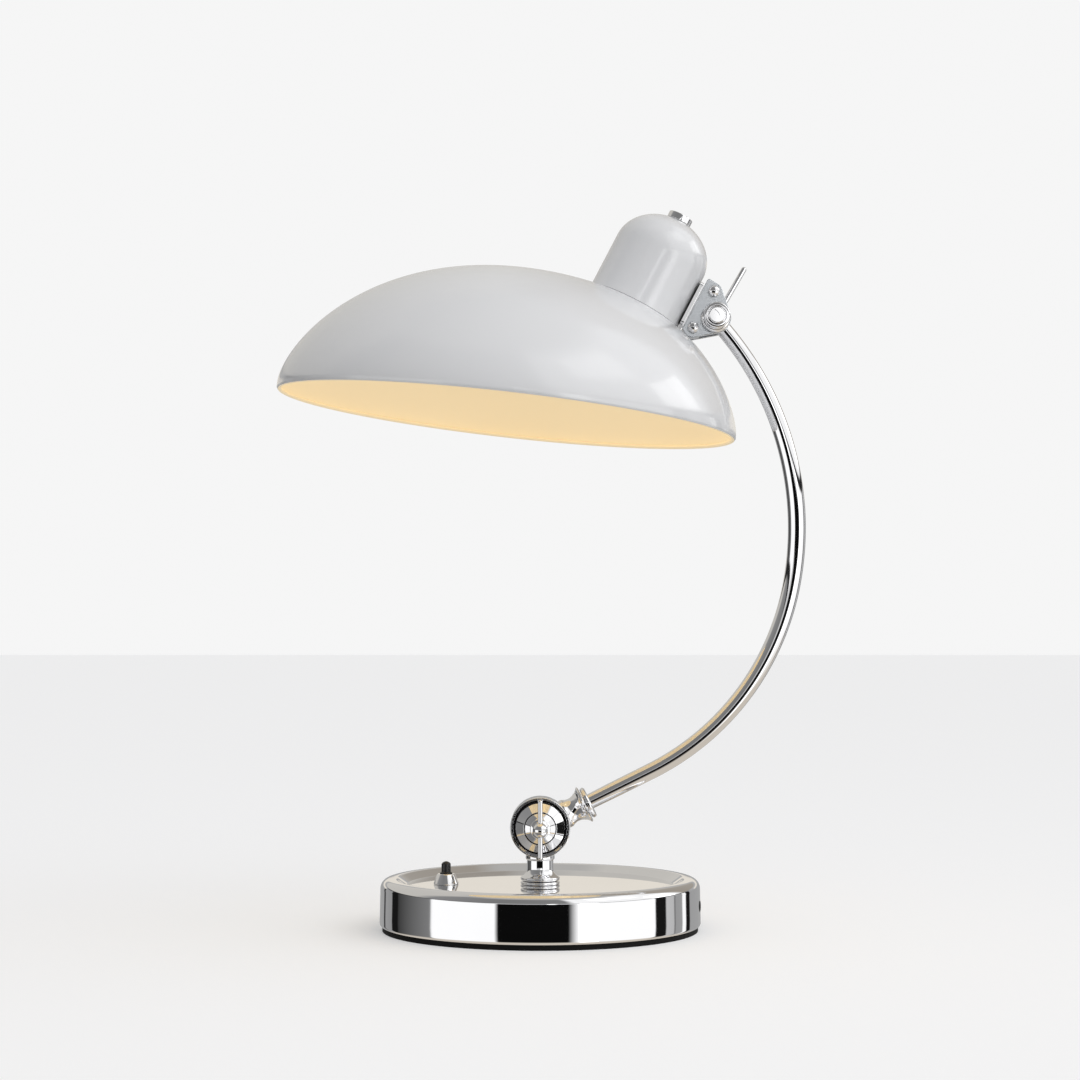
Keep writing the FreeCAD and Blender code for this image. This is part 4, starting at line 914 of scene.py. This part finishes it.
def screw_tree():
    """Tree that sets a round-headed screw on each point, its head towards the camera's side."""
    tree = bpy.data.node_groups.new("Button-head screws", "GeometryNodeTree")
    tree.interface.new_socket(name="Places", in_out="INPUT", socket_type="NodeSocketGeometry")
    names = ("Head radius", "Head height", "Rim height", "Shank radius", "Shank length")
    sockets = {name: tree_input(tree, name, "NodeSocketFloat", 0.003) for name in names}
    sockets["Finish"] = tree.interface.new_socket(name="Finish", in_out="INPUT",
                                                  socket_type="NodeSocketMaterial").identifier
    tree.interface.new_socket(name="Screws", in_out="OUTPUT", socket_type="NodeSocketGeometry")
    given = tree.nodes.new("NodeGroupInput").outputs
    join = tree.nodes.new("GeometryNodeJoinGeometry")

    def shifted(geometry, y, scale=None):
        """Lays a piece made on z along y, moved and stretched there."""
        moved = tree.nodes.new("GeometryNodeTransform")
        moved.inputs["Rotation"].default_value = (math.pi / 2, 0, 0)
        place = tree.nodes.new("ShaderNodeCombineXYZ")
        tree.links.new(y, place.inputs["Y"])
        tree.links.new(place.outputs[0], moved.inputs["Translation"])
        if scale is not None:
            size = tree.nodes.new("ShaderNodeCombineXYZ")
            size.inputs["X"].default_value = 1.0
            size.inputs["Y"].default_value = 1.0
            tree.links.new(scale, size.inputs["Z"])
            tree.links.new(size.outputs[0], moved.inputs["Scale"])
        tree.links.new(geometry, moved.inputs["Geometry"])
        tree.links.new(moved.outputs[0], join.inputs[0])

    dome = tree.nodes.new("GeometryNodeMeshUVSphere")
    dome.inputs["Segments"].default_value = 64
    dome.inputs["Rings"].default_value = 32
    tree.links.new(given["Head radius"], dome.inputs["Radius"])
    rise = math_node(tree, "SUBTRACT", given["Head height"], given["Rim height"])
    shifted(dome.outputs[0], math_node(tree, "MULTIPLY", given["Rim height"], -1.0),
            math_node(tree, "DIVIDE", rise, given["Head radius"]))
    for radius, depth, side in (("Head radius", "Rim height", -0.5), ("Shank radius", "Shank length", 0.5)):
        rod = tree.nodes.new("GeometryNodeMeshCylinder")
        rod.inputs["Vertices"].default_value = 64
        tree.links.new(given[radius], rod.inputs["Radius"])
        tree.links.new(given[depth], rod.inputs["Depth"])
        shifted(rod.outputs[0], math_node(tree, "MULTIPLY", given[depth], side))
    spread = tree.nodes.new("GeometryNodeInstanceOnPoints")
    tree.links.new(given["Places"], spread.inputs["Points"])
    tree.links.new(join.outputs[0], spread.inputs["Instance"])
    end_tree(tree, spread.outputs[0], given["Finish"])
    return tree, sockets


# The bracket's two screws, x and z of the head's frame in millimetres
LOW_SCREW = (38.5, 2.7)
HIGH_SCREW = (39.6, 28.7)
# The cheeks' outer faces from the middle plane, and the thickness of each in millimetres
CHEEK_Y = 6.9 * MM
CHEEK_WALL = 2.0


def build_screws(head, arm):
    """The bracket's two button-head screws, set by their tree."""
    place = head_place(head, arm)
    mesh = bpy.data.meshes.new("screw_places")
    mesh.from_pydata([place @ Vector((x * MM, -CHEEK_Y, z * MM)) for x, z in (LOW_SCREW, HIGH_SCREW)], [], [])
    guide = bpy.data.objects.new("screw_places", mesh)
    bpy.context.scene.collection.objects.link(guide)
    tree, sockets = screw_tree()
    values = {"Head radius": 3.6 * MM, "Head height": 3.2 * MM, "Rim height": 0.8 * MM,
              "Shank radius": 2.0 * MM, "Shank length": 15.6 * MM, "Finish": finishes["polished_chrome"]}
    screws = grown(guide, tree, {sockets[key]: value for key, value in values.items()}, "bracket_screw_heads")
    smooth(screws.data, 40)
    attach(screws, "head")
    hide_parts("bracket_screws")


def belt(circles, steps=24):
    """Points of a band pulled round circles (x, z, r), clockwise seen along +y."""
    points = []
    ends = []
    for (x1, z1, r1), (x2, z2, r2) in zip(circles, circles[1:] + circles[:1]):
        side = math.atan2(z2 - z1, x2 - x1) + math.acos((r1 - r2) / math.hypot(x2 - x1, z2 - z1))
        ends.append(side)
    for k, (x, z, r) in enumerate(circles):
        arrive, leave = ends[k - 1], ends[k]
        sweep = (arrive - leave) % (2 * math.pi)
        turns = [arrive - sweep * j / steps for j in range(steps + 1)]
        points += [(x + r * math.cos(a), z + r * math.sin(a)) for a in turns]
    return points


def cheek_belt(grow):
    """Outline of a cheek, grown by some millimetres."""
    return belt([(34.3, 33.0, 1.5 + grow), (*HIGH_SCREW, 5.3 + grow), (48.2, 14.6, 9.6 + grow),
                 (*LOW_SCREW, 6.2 + grow), (34.3, 0.0, 1.5 + grow)])


def build_cheeks(head, arm):
    """The two flat cheeks, their edges eased."""
    place = head_place(head, arm)
    ease = 0.35
    face = CHEEK_Y / MM
    inner = face - CHEEK_WALL
    for name, node, low, high in (("cheek_front", "front_cheek", -face, -inner),
                                  ("cheek_rear", "rear_cheek", inner, face)):
        rows = [(-ease * 1.8, low)]
        rows += [(ease * (math.sin(math.radians(b)) - 1), low + ease * (1 - math.cos(math.radians(b))))
                 for b in range(0, 91, 18)]
        rows += [(ease * (math.cos(math.radians(b)) - 1), high - ease * (1 - math.sin(math.radians(b))))
                 for b in range(0, 91, 18)]
        rows.append((-ease * 1.8, high))
        verts = []
        for grow, y in rows:
            verts += [place @ Vector((x * MM, y * MM, z * MM)) for x, z in cheek_belt(grow)]
        count = len(verts) // len(rows)
        faces = [list(range(count))]
        for row in range(len(rows) - 1):
            for k in range(count):
                n = (k + 1) % count
                a, b = row * count, (row + 1) * count
                faces.append([a + n, a + k, b + k, b + n])
        faces.append(list(reversed(range((len(rows) - 1) * count, len(rows) * count))))
        obj = piece(name, "head", [node], verts, faces, ["satin"], sharp=50)
        turn_out(obj.data)


def turn_out(mesh):
    """Merges doubles and points every face outwards."""
    work = bmesh.new()
    work.from_mesh(mesh)
    bmesh.ops.remove_doubles(work, verts=work.verts, dist=0.000001)
    bmesh.ops.recalc_face_normals(work, faces=work.faces)
    work.to_mesh(mesh)
    work.free()


# Slope of the lever's pin in the head's frame, in degrees
LEVER_TURN = 87.4


def build_pivot(head, arm):
    """The turned distance piece in front, and the lever nut with its pin behind."""
    place = head_place(head, arm)
    eye = Vector((head.pivot_x, 0, head.pivot_z))
    face = CHEEK_Y / MM
    turned("pivot_turning", "head", "polished_chrome", ["pivot_boss"],
           drawn((4.1, 0), (9.2, 0), (9.2, 1.4), (8.7, 2.4, 7.6, 2.9), (7.2, 3.2), (6.9, 6.0, 7.2, 8.6),
                 (7.65, 9.4), (8.05, 10.2), (8.05, 11.6), (7.75, 12.3, 7.05, 12.6), (6.1, 12.6), (5.7, 12.2),
                 (5.7, 11.4), (4.1, 11.4), ease=0.12),
           place @ facing_front(eye) @ Matrix.Translation((0, 0, face * MM)))
    turned("lever_turning", "lever", "polished_chrome", ["lever_nut"],
           drawn((4.06, 0), (9.2, 0), (9.2, 1.4), (8.7, 2.4, 7.6, 2.9), (7.2, 3.2), (7.2, 4.6), (8.05, 5.4),
                 (8.05, 10.4), (7.45, 11.8, 5.65, 12.6), (0, 12.6), ease=0.12),
           place @ facing_back(eye) @ Matrix.Translation((0, 0, (face + 0.1) * MM)))
    pin = Matrix.Translation((head.pivot_x, (face + 8.0) * MM, head.pivot_z)) \
        @ Matrix.Rotation(math.radians(90 - LEVER_TURN), 4, "Y")
    turned("lever_rod", "lever", "polished_chrome", ["lever_pin"],
           drawn((0, 4.6), (1.65, 4.6), (1.65, 38.85), (1.167, 40.017, 0, 40.5), ease=0.1), place @ pin,
           segments=48)


def build_knob(head, arm):
    """The knob on the neck, with its foot on the neck's flat."""
    low = (head.neck_straight + head.neck_dome * math.sqrt(1 - (head.knob_seat / head.neck_r) ** 2)) / MM
    high = low + head.knob_h / MM
    r = head.knob_r / MM
    turned("neck_button", "head", "polished_chrome", ["neck_knob"],
           drawn((0, low), (r - 0.3, low), (r, low + 0.3), (r, high - 0.5),
                 (r - 0.15, high - 0.15, r - 0.5, high), (0, high), ease=0.1), head_place(head, arm))


def build_bulb(head, arm):
    """The opal bulb, seen from below."""
    place = head_place(head, arm)
    turned("bulb_glass", "head", "opal_glass", ["bulb_envelope"],
           drawn((0, -49.5), (15.91, -42.91, 22.5, -27.0), (20.5, -17.6, 13.85, -9.27),
                 (13.0, -6.0, 12.6, -3.1), (12.6, -0.1), (11.6, -0.1), bends=20), place)


def finish_nodes():
    """Gives every kept node of the frame its finish."""
    slots = {row["node"]: row["material_slot"] for row in frame["record"]["subparts"]}
    for name, obj in frame["nodes"].items():
        obj.data.materials.clear()
        obj.data.materials.append(finishes[slots[name]])


# ------------------------------------------------------------------ stage
def ramp_of(tree, stops):
    """A colour ramp with the given stops, each a grey level or a colour."""
    node = tree.nodes.new("ShaderNodeValToRGB")
    ramp = node.color_ramp
    ramp.interpolation = "LINEAR"
    while len(ramp.elements) > 1:
        ramp.elements.remove(ramp.elements[-1])
    first = True
    for place, value in stops:
        element = ramp.elements[0] if first else ramp.elements.new(place)
        element.position = place
        shade = value if isinstance(value, tuple) else (value, value, value)
        element.color = (*shade, 1)
        first = False
    return node


def math_node(tree, operation, a, b=None):
    """A Math node fed by sockets or plain numbers."""
    node = tree.nodes.new("ShaderNodeMath")
    node.operation = operation
    for socket, value in zip(node.inputs, (a, b)):
        if value is None:
            continue
        if isinstance(value, (int, float)):
            socket.default_value = value
        else:
            tree.links.new(value, socket)
    return node.outputs[0]


def mixed(tree, share, a, b):
    """Colour a where the share is 0, colour b where it is 1."""
    node = tree.nodes.new("ShaderNodeMix")
    node.data_type = "RGBA"
    for name, value in (("Factor", share), ("A", a), ("B", b)):
        index = {"Factor": 0, "A": 6, "B": 7}[name]
        socket = node.inputs[index]
        if isinstance(value, (int, float)):
            socket.default_value = value
        elif isinstance(value, tuple):
            socket.default_value = (*value, 1)
        else:
            tree.links.new(value, socket)
    return node.outputs[2]


def turn_stops(rows):
    """Stops from degrees round the lamp, -180 to 180, where 0 is the side of the camera."""
    return [((degrees + 180) / 360, value) for degrees, value in rows]


def height(degrees):
    """Where an elevation lies on the world's ramps, 0 straight down and 1 straight up."""
    return (math.sin(math.radians(degrees)) + 1) / 2


def patch(tree, turn, rise, turns, heights, soft, glow):
    """A bright patch of sky between two turns and two elevations in degrees, with soft edges."""
    (left, right), (low, high) = turns, heights
    across = ramp_of(tree, turn_stops([(left - soft, 0.0), (left, 1.0), (right, 1.0), (right + soft, 0.0)]))
    up = ramp_of(tree, [(height(low - soft), 0.0), (height(low), 1.0), (height(high), 1.0),
                        (height(high + soft), 0.0)])
    tree.links.new(turn, across.inputs["Fac"])
    tree.links.new(rise, up.inputs["Fac"])
    both = math_node(tree, "MULTIPLY", across.outputs["Color"], up.outputs["Color"])
    return math_node(tree, "MULTIPLY", both, glow)


# What the chrome sees of the studio: pairs of degrees round the lamp, from the camera's side, and a level.
CREAM = (0.82, 0.77, 0.69)
WARM = (0.62, 0.60, 0.56)
# White panels, black flags and the window, up to a little above the table
PANELS = ((-180, 0.40), (-150, 0.38), (-149, 0.02), (-146.5, 0.02), (-145.5, 0.36), (-131.9, 0.33),
          (-131.2, 0.01), (-121.5, 0.01), (-120.8, 0.05), (-84.5, 0.24), (-82.6, 1.22), (-31.5, 1.22),
          (-30.5, 0.004), (20, 0.004), (27, 1.22), (29, 2.6), (41, 2.6), (42, 1.22), (89, 1.22),
          (89.6, 0.01), (100, 0.01), (100.8, 0.60), (110.8, 0.55), (111.2, 0.03), (111.7, 0.36),
          (121.2, 0.38), (121.6, 1.15), (126.9, 1.15), (127.3, 0.01), (134.2, 0.01), (135, 0.38),
          (180, 0.40))
# The same at eye level, with a card behind the lamp and bright strips for the neck
EYE_LEVEL = ((-180, CREAM), (-148, CREAM), (-147, 0.36), (-131.9, 0.33), (-131.2, 0.01), (-121.5, 0.01),
             (-120.8, 0.05), (-84.5, 0.24), (-82.6, 1.22), (-31, 1.22), (-29, 0.72), (4.9, 0.72),
             (5.4, 2.6), (11, 2.6), (11.5, 0.72), (25, 1.1), (29, 2.6), (41, 2.6), (42, 1.22), (89, 1.22),
             (89.6, 0.01), (100, 0.01), (101, 0.60), (121, 0.38), (121.6, 1.15), (126.9, 1.15),
             (127.3, 0.01), (134.2, 0.01), (135, 0.40), (147, 0.45), (148, CREAM), (180, CREAM))
# The dark edge above the panels
EDGE = ((-180, 0.45), (-150, 0.40), (-140, 0.02), (-36, 0.02), (-28, 0.30), (18, 0.30), (28, 0.02),
        (126, 0.02), (140, 0.45), (180, 0.45))
# The walls above the panels
UPPER = ((-180, WARM), (-104, WARM), (-88, 0.28), (-30, 0.22), (19, 0.24), (25, 1.1), (118, 1.1),
         (128, (0.38, 0.34, 0.29)), (166, (0.40, 0.37, 0.33)), (180, WARM))
# Where each band starts and is full, on the way from straight down, 0, to straight up, 1
BAND_STEPS = ((0.541, 0.548, EYE_LEVEL), (0.580, 0.584, EDGE), (0.602, 0.612, UPPER))
CROWN = (0.50, 0.49, 0.47)
TABLE = (0.68, 0.62, 0.54)
# Lights for the lacquer: turns, elevations and softness in degrees, and strength
PATCHES = (((48, 82), (42, 54), 7.0, 0.9), ((89, 101), (15, 33), 1.2, 1.7), ((103, 115), (15, 33), 1.2, 1.7))


def band(tree, turn, rows):
    """A band of the studio, read by the turn round the lamp."""
    ramp = ramp_of(tree, turn_stops(rows))
    tree.links.new(turn, ramp.inputs["Fac"])
    return ramp.outputs["Color"]


def studio(tree, turn, rise):
    """All that the chrome sees: the bands from the table to the crown, and the lights for the lacquer."""
    seen = band(tree, turn, PANELS)
    for low, high, rows in BAND_STEPS:
        share = ramp_of(tree, [(0.0, 0.0), (low, 0.0), (high, 1.0), (1.0, 1.0)])
        tree.links.new(rise, share.inputs["Fac"])
        seen = mixed(tree, share.outputs["Color"], seen, band(tree, turn, rows))
    crown = ramp_of(tree, [(0.0, 0.0), (0.925, 0.0), (0.96, 1.0), (1.0, 1.0)])
    tree.links.new(rise, crown.inputs["Fac"])
    seen = mixed(tree, crown.outputs["Color"], seen, CROWN)
    for turns, heights, soft, glow in PATCHES:
        spot = tree.nodes.new("ShaderNodeMixRGB")
        spot.blend_type = "ADD"
        spot.inputs["Fac"].default_value = 1.0
        tree.links.new(seen, spot.inputs["Color1"])
        tree.links.new(patch(tree, turn, rise, turns, heights, soft, glow), spot.inputs["Color2"])
        seen = spot.outputs["Color"]
    table = ramp_of(tree, [(0.0, 1.0), (0.24, 1.0), (0.36, 0.0), (1.0, 0.0)])
    tree.links.new(rise, table.inputs["Fac"])
    return mixed(tree, table.outputs["Color"], seen, TABLE)


def soft_light(tree, x, front, z):
    """The light on the paint: brighter from the right, from above and from the front."""
    from_right, from_above, from_front, everywhere, least = 0.62, 0.32, 0.26, 0.52, 0.24
    level = math_node(tree, "MULTIPLY", x, from_right)
    level = math_node(tree, "ADD", level, math_node(tree, "MULTIPLY", z, from_above))
    level = math_node(tree, "ADD", level, math_node(tree, "MULTIPLY", front, from_front))
    level = math_node(tree, "MAXIMUM", math_node(tree, "ADD", level, everywhere), least)
    light = tree.nodes.new("ShaderNodeCombineXYZ")
    tree.links.new(level, light.inputs[0])
    tree.links.new(level, light.inputs[1])
    tree.links.new(math_node(tree, "MULTIPLY", level, 1.01), light.inputs[2])
    return light.outputs[0]


def build_world(colours):
    """Studio all round: pale for the camera, soft for the paint, panels and flags for the chrome."""
    world = bpy.data.worlds.new("Studio")
    bpy.context.scene.world = world
    world.use_nodes = True
    tree = world.node_tree
    place = tree.nodes.new("ShaderNodeTexCoord")
    parts = tree.nodes.new("ShaderNodeSeparateXYZ")
    tree.links.new(place.outputs["Generated"], parts.inputs[0])
    x, y, z = parts.outputs
    front = math_node(tree, "MULTIPLY", y, -1.0)
    turn = math_node(tree, "ARCTAN2", x, front)
    turn = math_node(tree, "ADD", math_node(tree, "DIVIDE", turn, 2 * math.pi), 0.5)
    rise = math_node(tree, "ADD", math_node(tree, "MULTIPLY", z, 0.5), 0.5)
    path = tree.nodes.new("ShaderNodeLightPath")
    paint_sees = soft_light(tree, x, front, z)
    colour = mixed(tree, path.outputs["Is Glossy Ray"], paint_sees, studio(tree, turn, rise))
    colour = mixed(tree, path.outputs["Is Camera Ray"], colour, tuple(colours.backdrop))
    tree.links.new(colour, tree.nodes["Background"].inputs["Color"])
    return world


def build_floor(colours):
    """Pale floor that keeps the lamp's soft shadow."""
    mesh = bpy.data.meshes.new("floor")
    reach = 30.0
    grey = 0.64
    own_light = 0.40
    mesh.from_pydata([(-reach, -reach, 0), (reach, -reach, 0), (reach, reach, 0), (-reach, reach, 0)], [],
                     [(0, 1, 2, 3)])
    floor = bpy.data.objects.new("floor", mesh)
    bpy.context.scene.collection.objects.link(floor)
    floor.visible_glossy = False
    material = bpy.data.materials.new("Pale floor")
    material.use_nodes = True
    tree = material.node_tree
    shader = tree.nodes["Principled BSDF"]
    shader.inputs["Base Color"].default_value = (grey, grey, grey, 1)
    shader.inputs["Roughness"].default_value = 1.0
    shader.inputs["Specular IOR Level"].default_value = 0.0
    glow = tree.nodes.new("ShaderNodeEmission")
    glow.inputs["Color"].default_value = (*colours.backdrop, 1)
    path = tree.nodes.new("ShaderNodeLightPath")
    strength = math_node(tree, "MULTIPLY", path.outputs["Is Camera Ray"], own_light)
    tree.links.new(strength, glow.inputs["Strength"])
    total = tree.nodes.new("ShaderNodeAddShader")
    tree.links.new(shader.outputs[0], total.inputs[0])
    tree.links.new(glow.outputs[0], total.inputs[1])
    tree.links.new(total.outputs[0], tree.nodes["Material Output"].inputs["Surface"])
    mesh.materials.append(material)
    return floor


def build_camera():
    """The camera that was fitted to the photograph."""
    data = bpy.data.cameras.new("camera")
    data.lens = 74.2
    data.sensor_width = 36.0
    camera = bpy.data.objects.new("camera", data)
    camera.location = (-0.00011, -1.376, 0.1758)
    camera.rotation_euler = (math.pi / 2 + 0.046, 0, 0)
    bpy.context.scene.collection.objects.link(camera)
    bpy.context.scene.camera = camera


def build_lamps():
    """One broad soft light in front, to the right and above, aimed at the lamp's foot."""
    data = bpy.data.lights.new("overhead", "AREA")
    data.shape = "RECTANGLE"
    data.size = data.size_y = 1.6
    data.energy = 4.0
    lamp = bpy.data.objects.new("overhead", data)
    lamp.location = (1.0, -1.2, 1.5)
    lamp.rotation_euler = (-lamp.location).to_track_quat("-Z", "Y").to_euler()
    lamp.visible_glossy = False
    bpy.context.scene.collection.objects.link(lamp)


# ------------------------------------------------------------------ operators
class LAMP_OT_finishes(Operator):
    """Make the lamp's finishes and give each node of the frame its own"""
    bl_idname = "lamp.finishes"
    bl_label = "Finishes"

    def execute(self, context):
        finishes.update(make_finishes(context.scene.lamp_colours))
        finish_nodes()
        return {"FINISHED"}


class LAMP_OT_base(Operator):
    """Build the base cover"""
    bl_idname = "lamp.base"
    bl_label = "Base"

    def execute(self, context):
        build_base(context.scene.lamp_base)
        build_switch(context.scene.lamp_base)
        return {"FINISHED"}


class LAMP_OT_stem(Operator):
    """Build the stem and its foot"""
    bl_idname = "lamp.stem"
    bl_label = "Stem"

    def execute(self, context):
        scene = context.scene
        build_stem(scene.lamp_base, scene.lamp_arm, scene.lamp_hub)
        return {"FINISHED"}


class LAMP_OT_hub(Operator):
    """Build the clamped hub, its knob and its cross bar"""
    bl_idname = "lamp.hub"
    bl_label = "Hub"

    def execute(self, context):
        build_hub(context.scene.lamp_arm, context.scene.lamp_hub)
        build_clamp(context.scene.lamp_arm, context.scene.lamp_hub)
        return {"FINISHED"}


class LAMP_OT_arm(Operator):
    """Build the bowed arm tube"""
    bl_idname = "lamp.arm"
    bl_label = "Arm"

    def execute(self, context):
        build_arm(context.scene.lamp_arm)
        return {"FINISHED"}


class LAMP_OT_shade(Operator):
    """Build the dome shade and its neck"""
    bl_idname = "lamp.shade"
    bl_label = "Shade"

    def execute(self, context):
        build_shade(context.scene.lamp_head, context.scene.lamp_arm)
        build_neck(context.scene.lamp_head, context.scene.lamp_arm)
        build_knob(context.scene.lamp_head, context.scene.lamp_arm)
        build_bulb(context.scene.lamp_head, context.scene.lamp_arm)
        return {"FINISHED"}


class LAMP_OT_bracket(Operator):
    """Build the bracket's cheeks and screws and the tilting pivot"""
    bl_idname = "lamp.bracket"
    bl_label = "Bracket and pivot"

    def execute(self, context):
        build_cheeks(context.scene.lamp_head, context.scene.lamp_arm)
        build_screws(context.scene.lamp_head, context.scene.lamp_arm)
        build_pivot(context.scene.lamp_head, context.scene.lamp_arm)
        return {"FINISHED"}


class LAMP_OT_stage(Operator):
    """Set up the floor, the studio light and the camera"""
    bl_idname = "lamp.stage"
    bl_label = "Stage"

    def execute(self, context):
        colours = context.scene.lamp_colours
        build_world(colours)
        build_floor(colours)
        build_lamps()
        build_camera()
        context.scene.view_settings.view_transform = "Standard"
        # Light thrown by the chrome base would wash out the shadow under it.
        context.scene.cycles.caustics_reflective = False
        return {"FINISHED"}


STEPS = ("finishes", "base", "stem", "hub", "arm", "shade", "bracket", "stage")


class LAMP_PT_panel(Panel):
    bl_label = "Desk Lamp"
    bl_idname = "LAMP_PT_panel"
    bl_space_type = "VIEW_3D"
    bl_region_type = "UI"
    bl_category = "Desk Lamp"

    def draw(self, context):
        for step in STEPS:
            self.layout.operator("lamp." + step)


GROUPS = {"lamp_head": LampHeadSizes, "lamp_arm": LampArmSizes, "lamp_hub": LampHubSizes,
          "lamp_base": LampBaseSizes, "lamp_colours": LampColours}
CLASSES = (*GROUPS.values(), LAMP_OT_finishes, LAMP_OT_base, LAMP_OT_stem, LAMP_OT_hub, LAMP_OT_arm,
           LAMP_OT_shade, LAMP_OT_bracket, LAMP_OT_stage, LAMP_PT_panel)


def register():
    """Registers the classes and hangs the sizes on the scene."""
    for cls in CLASSES:
        bpy.utils.register_class(cls)
    for name, group in GROUPS.items():
        setattr(bpy.types.Scene, name, PointerProperty(type=group))


def unregister():
    """Takes back what register did."""
    for name in GROUPS:
        delattr(bpy.types.Scene, name)
    for cls in reversed(CLASSES):
        bpy.utils.unregister_class(cls)


def main():
    """Builds the lamp step by step."""
    register()
    for step in STEPS:
        getattr(bpy.ops.lamp, step)()


if __name__ == "__main__":
    main()
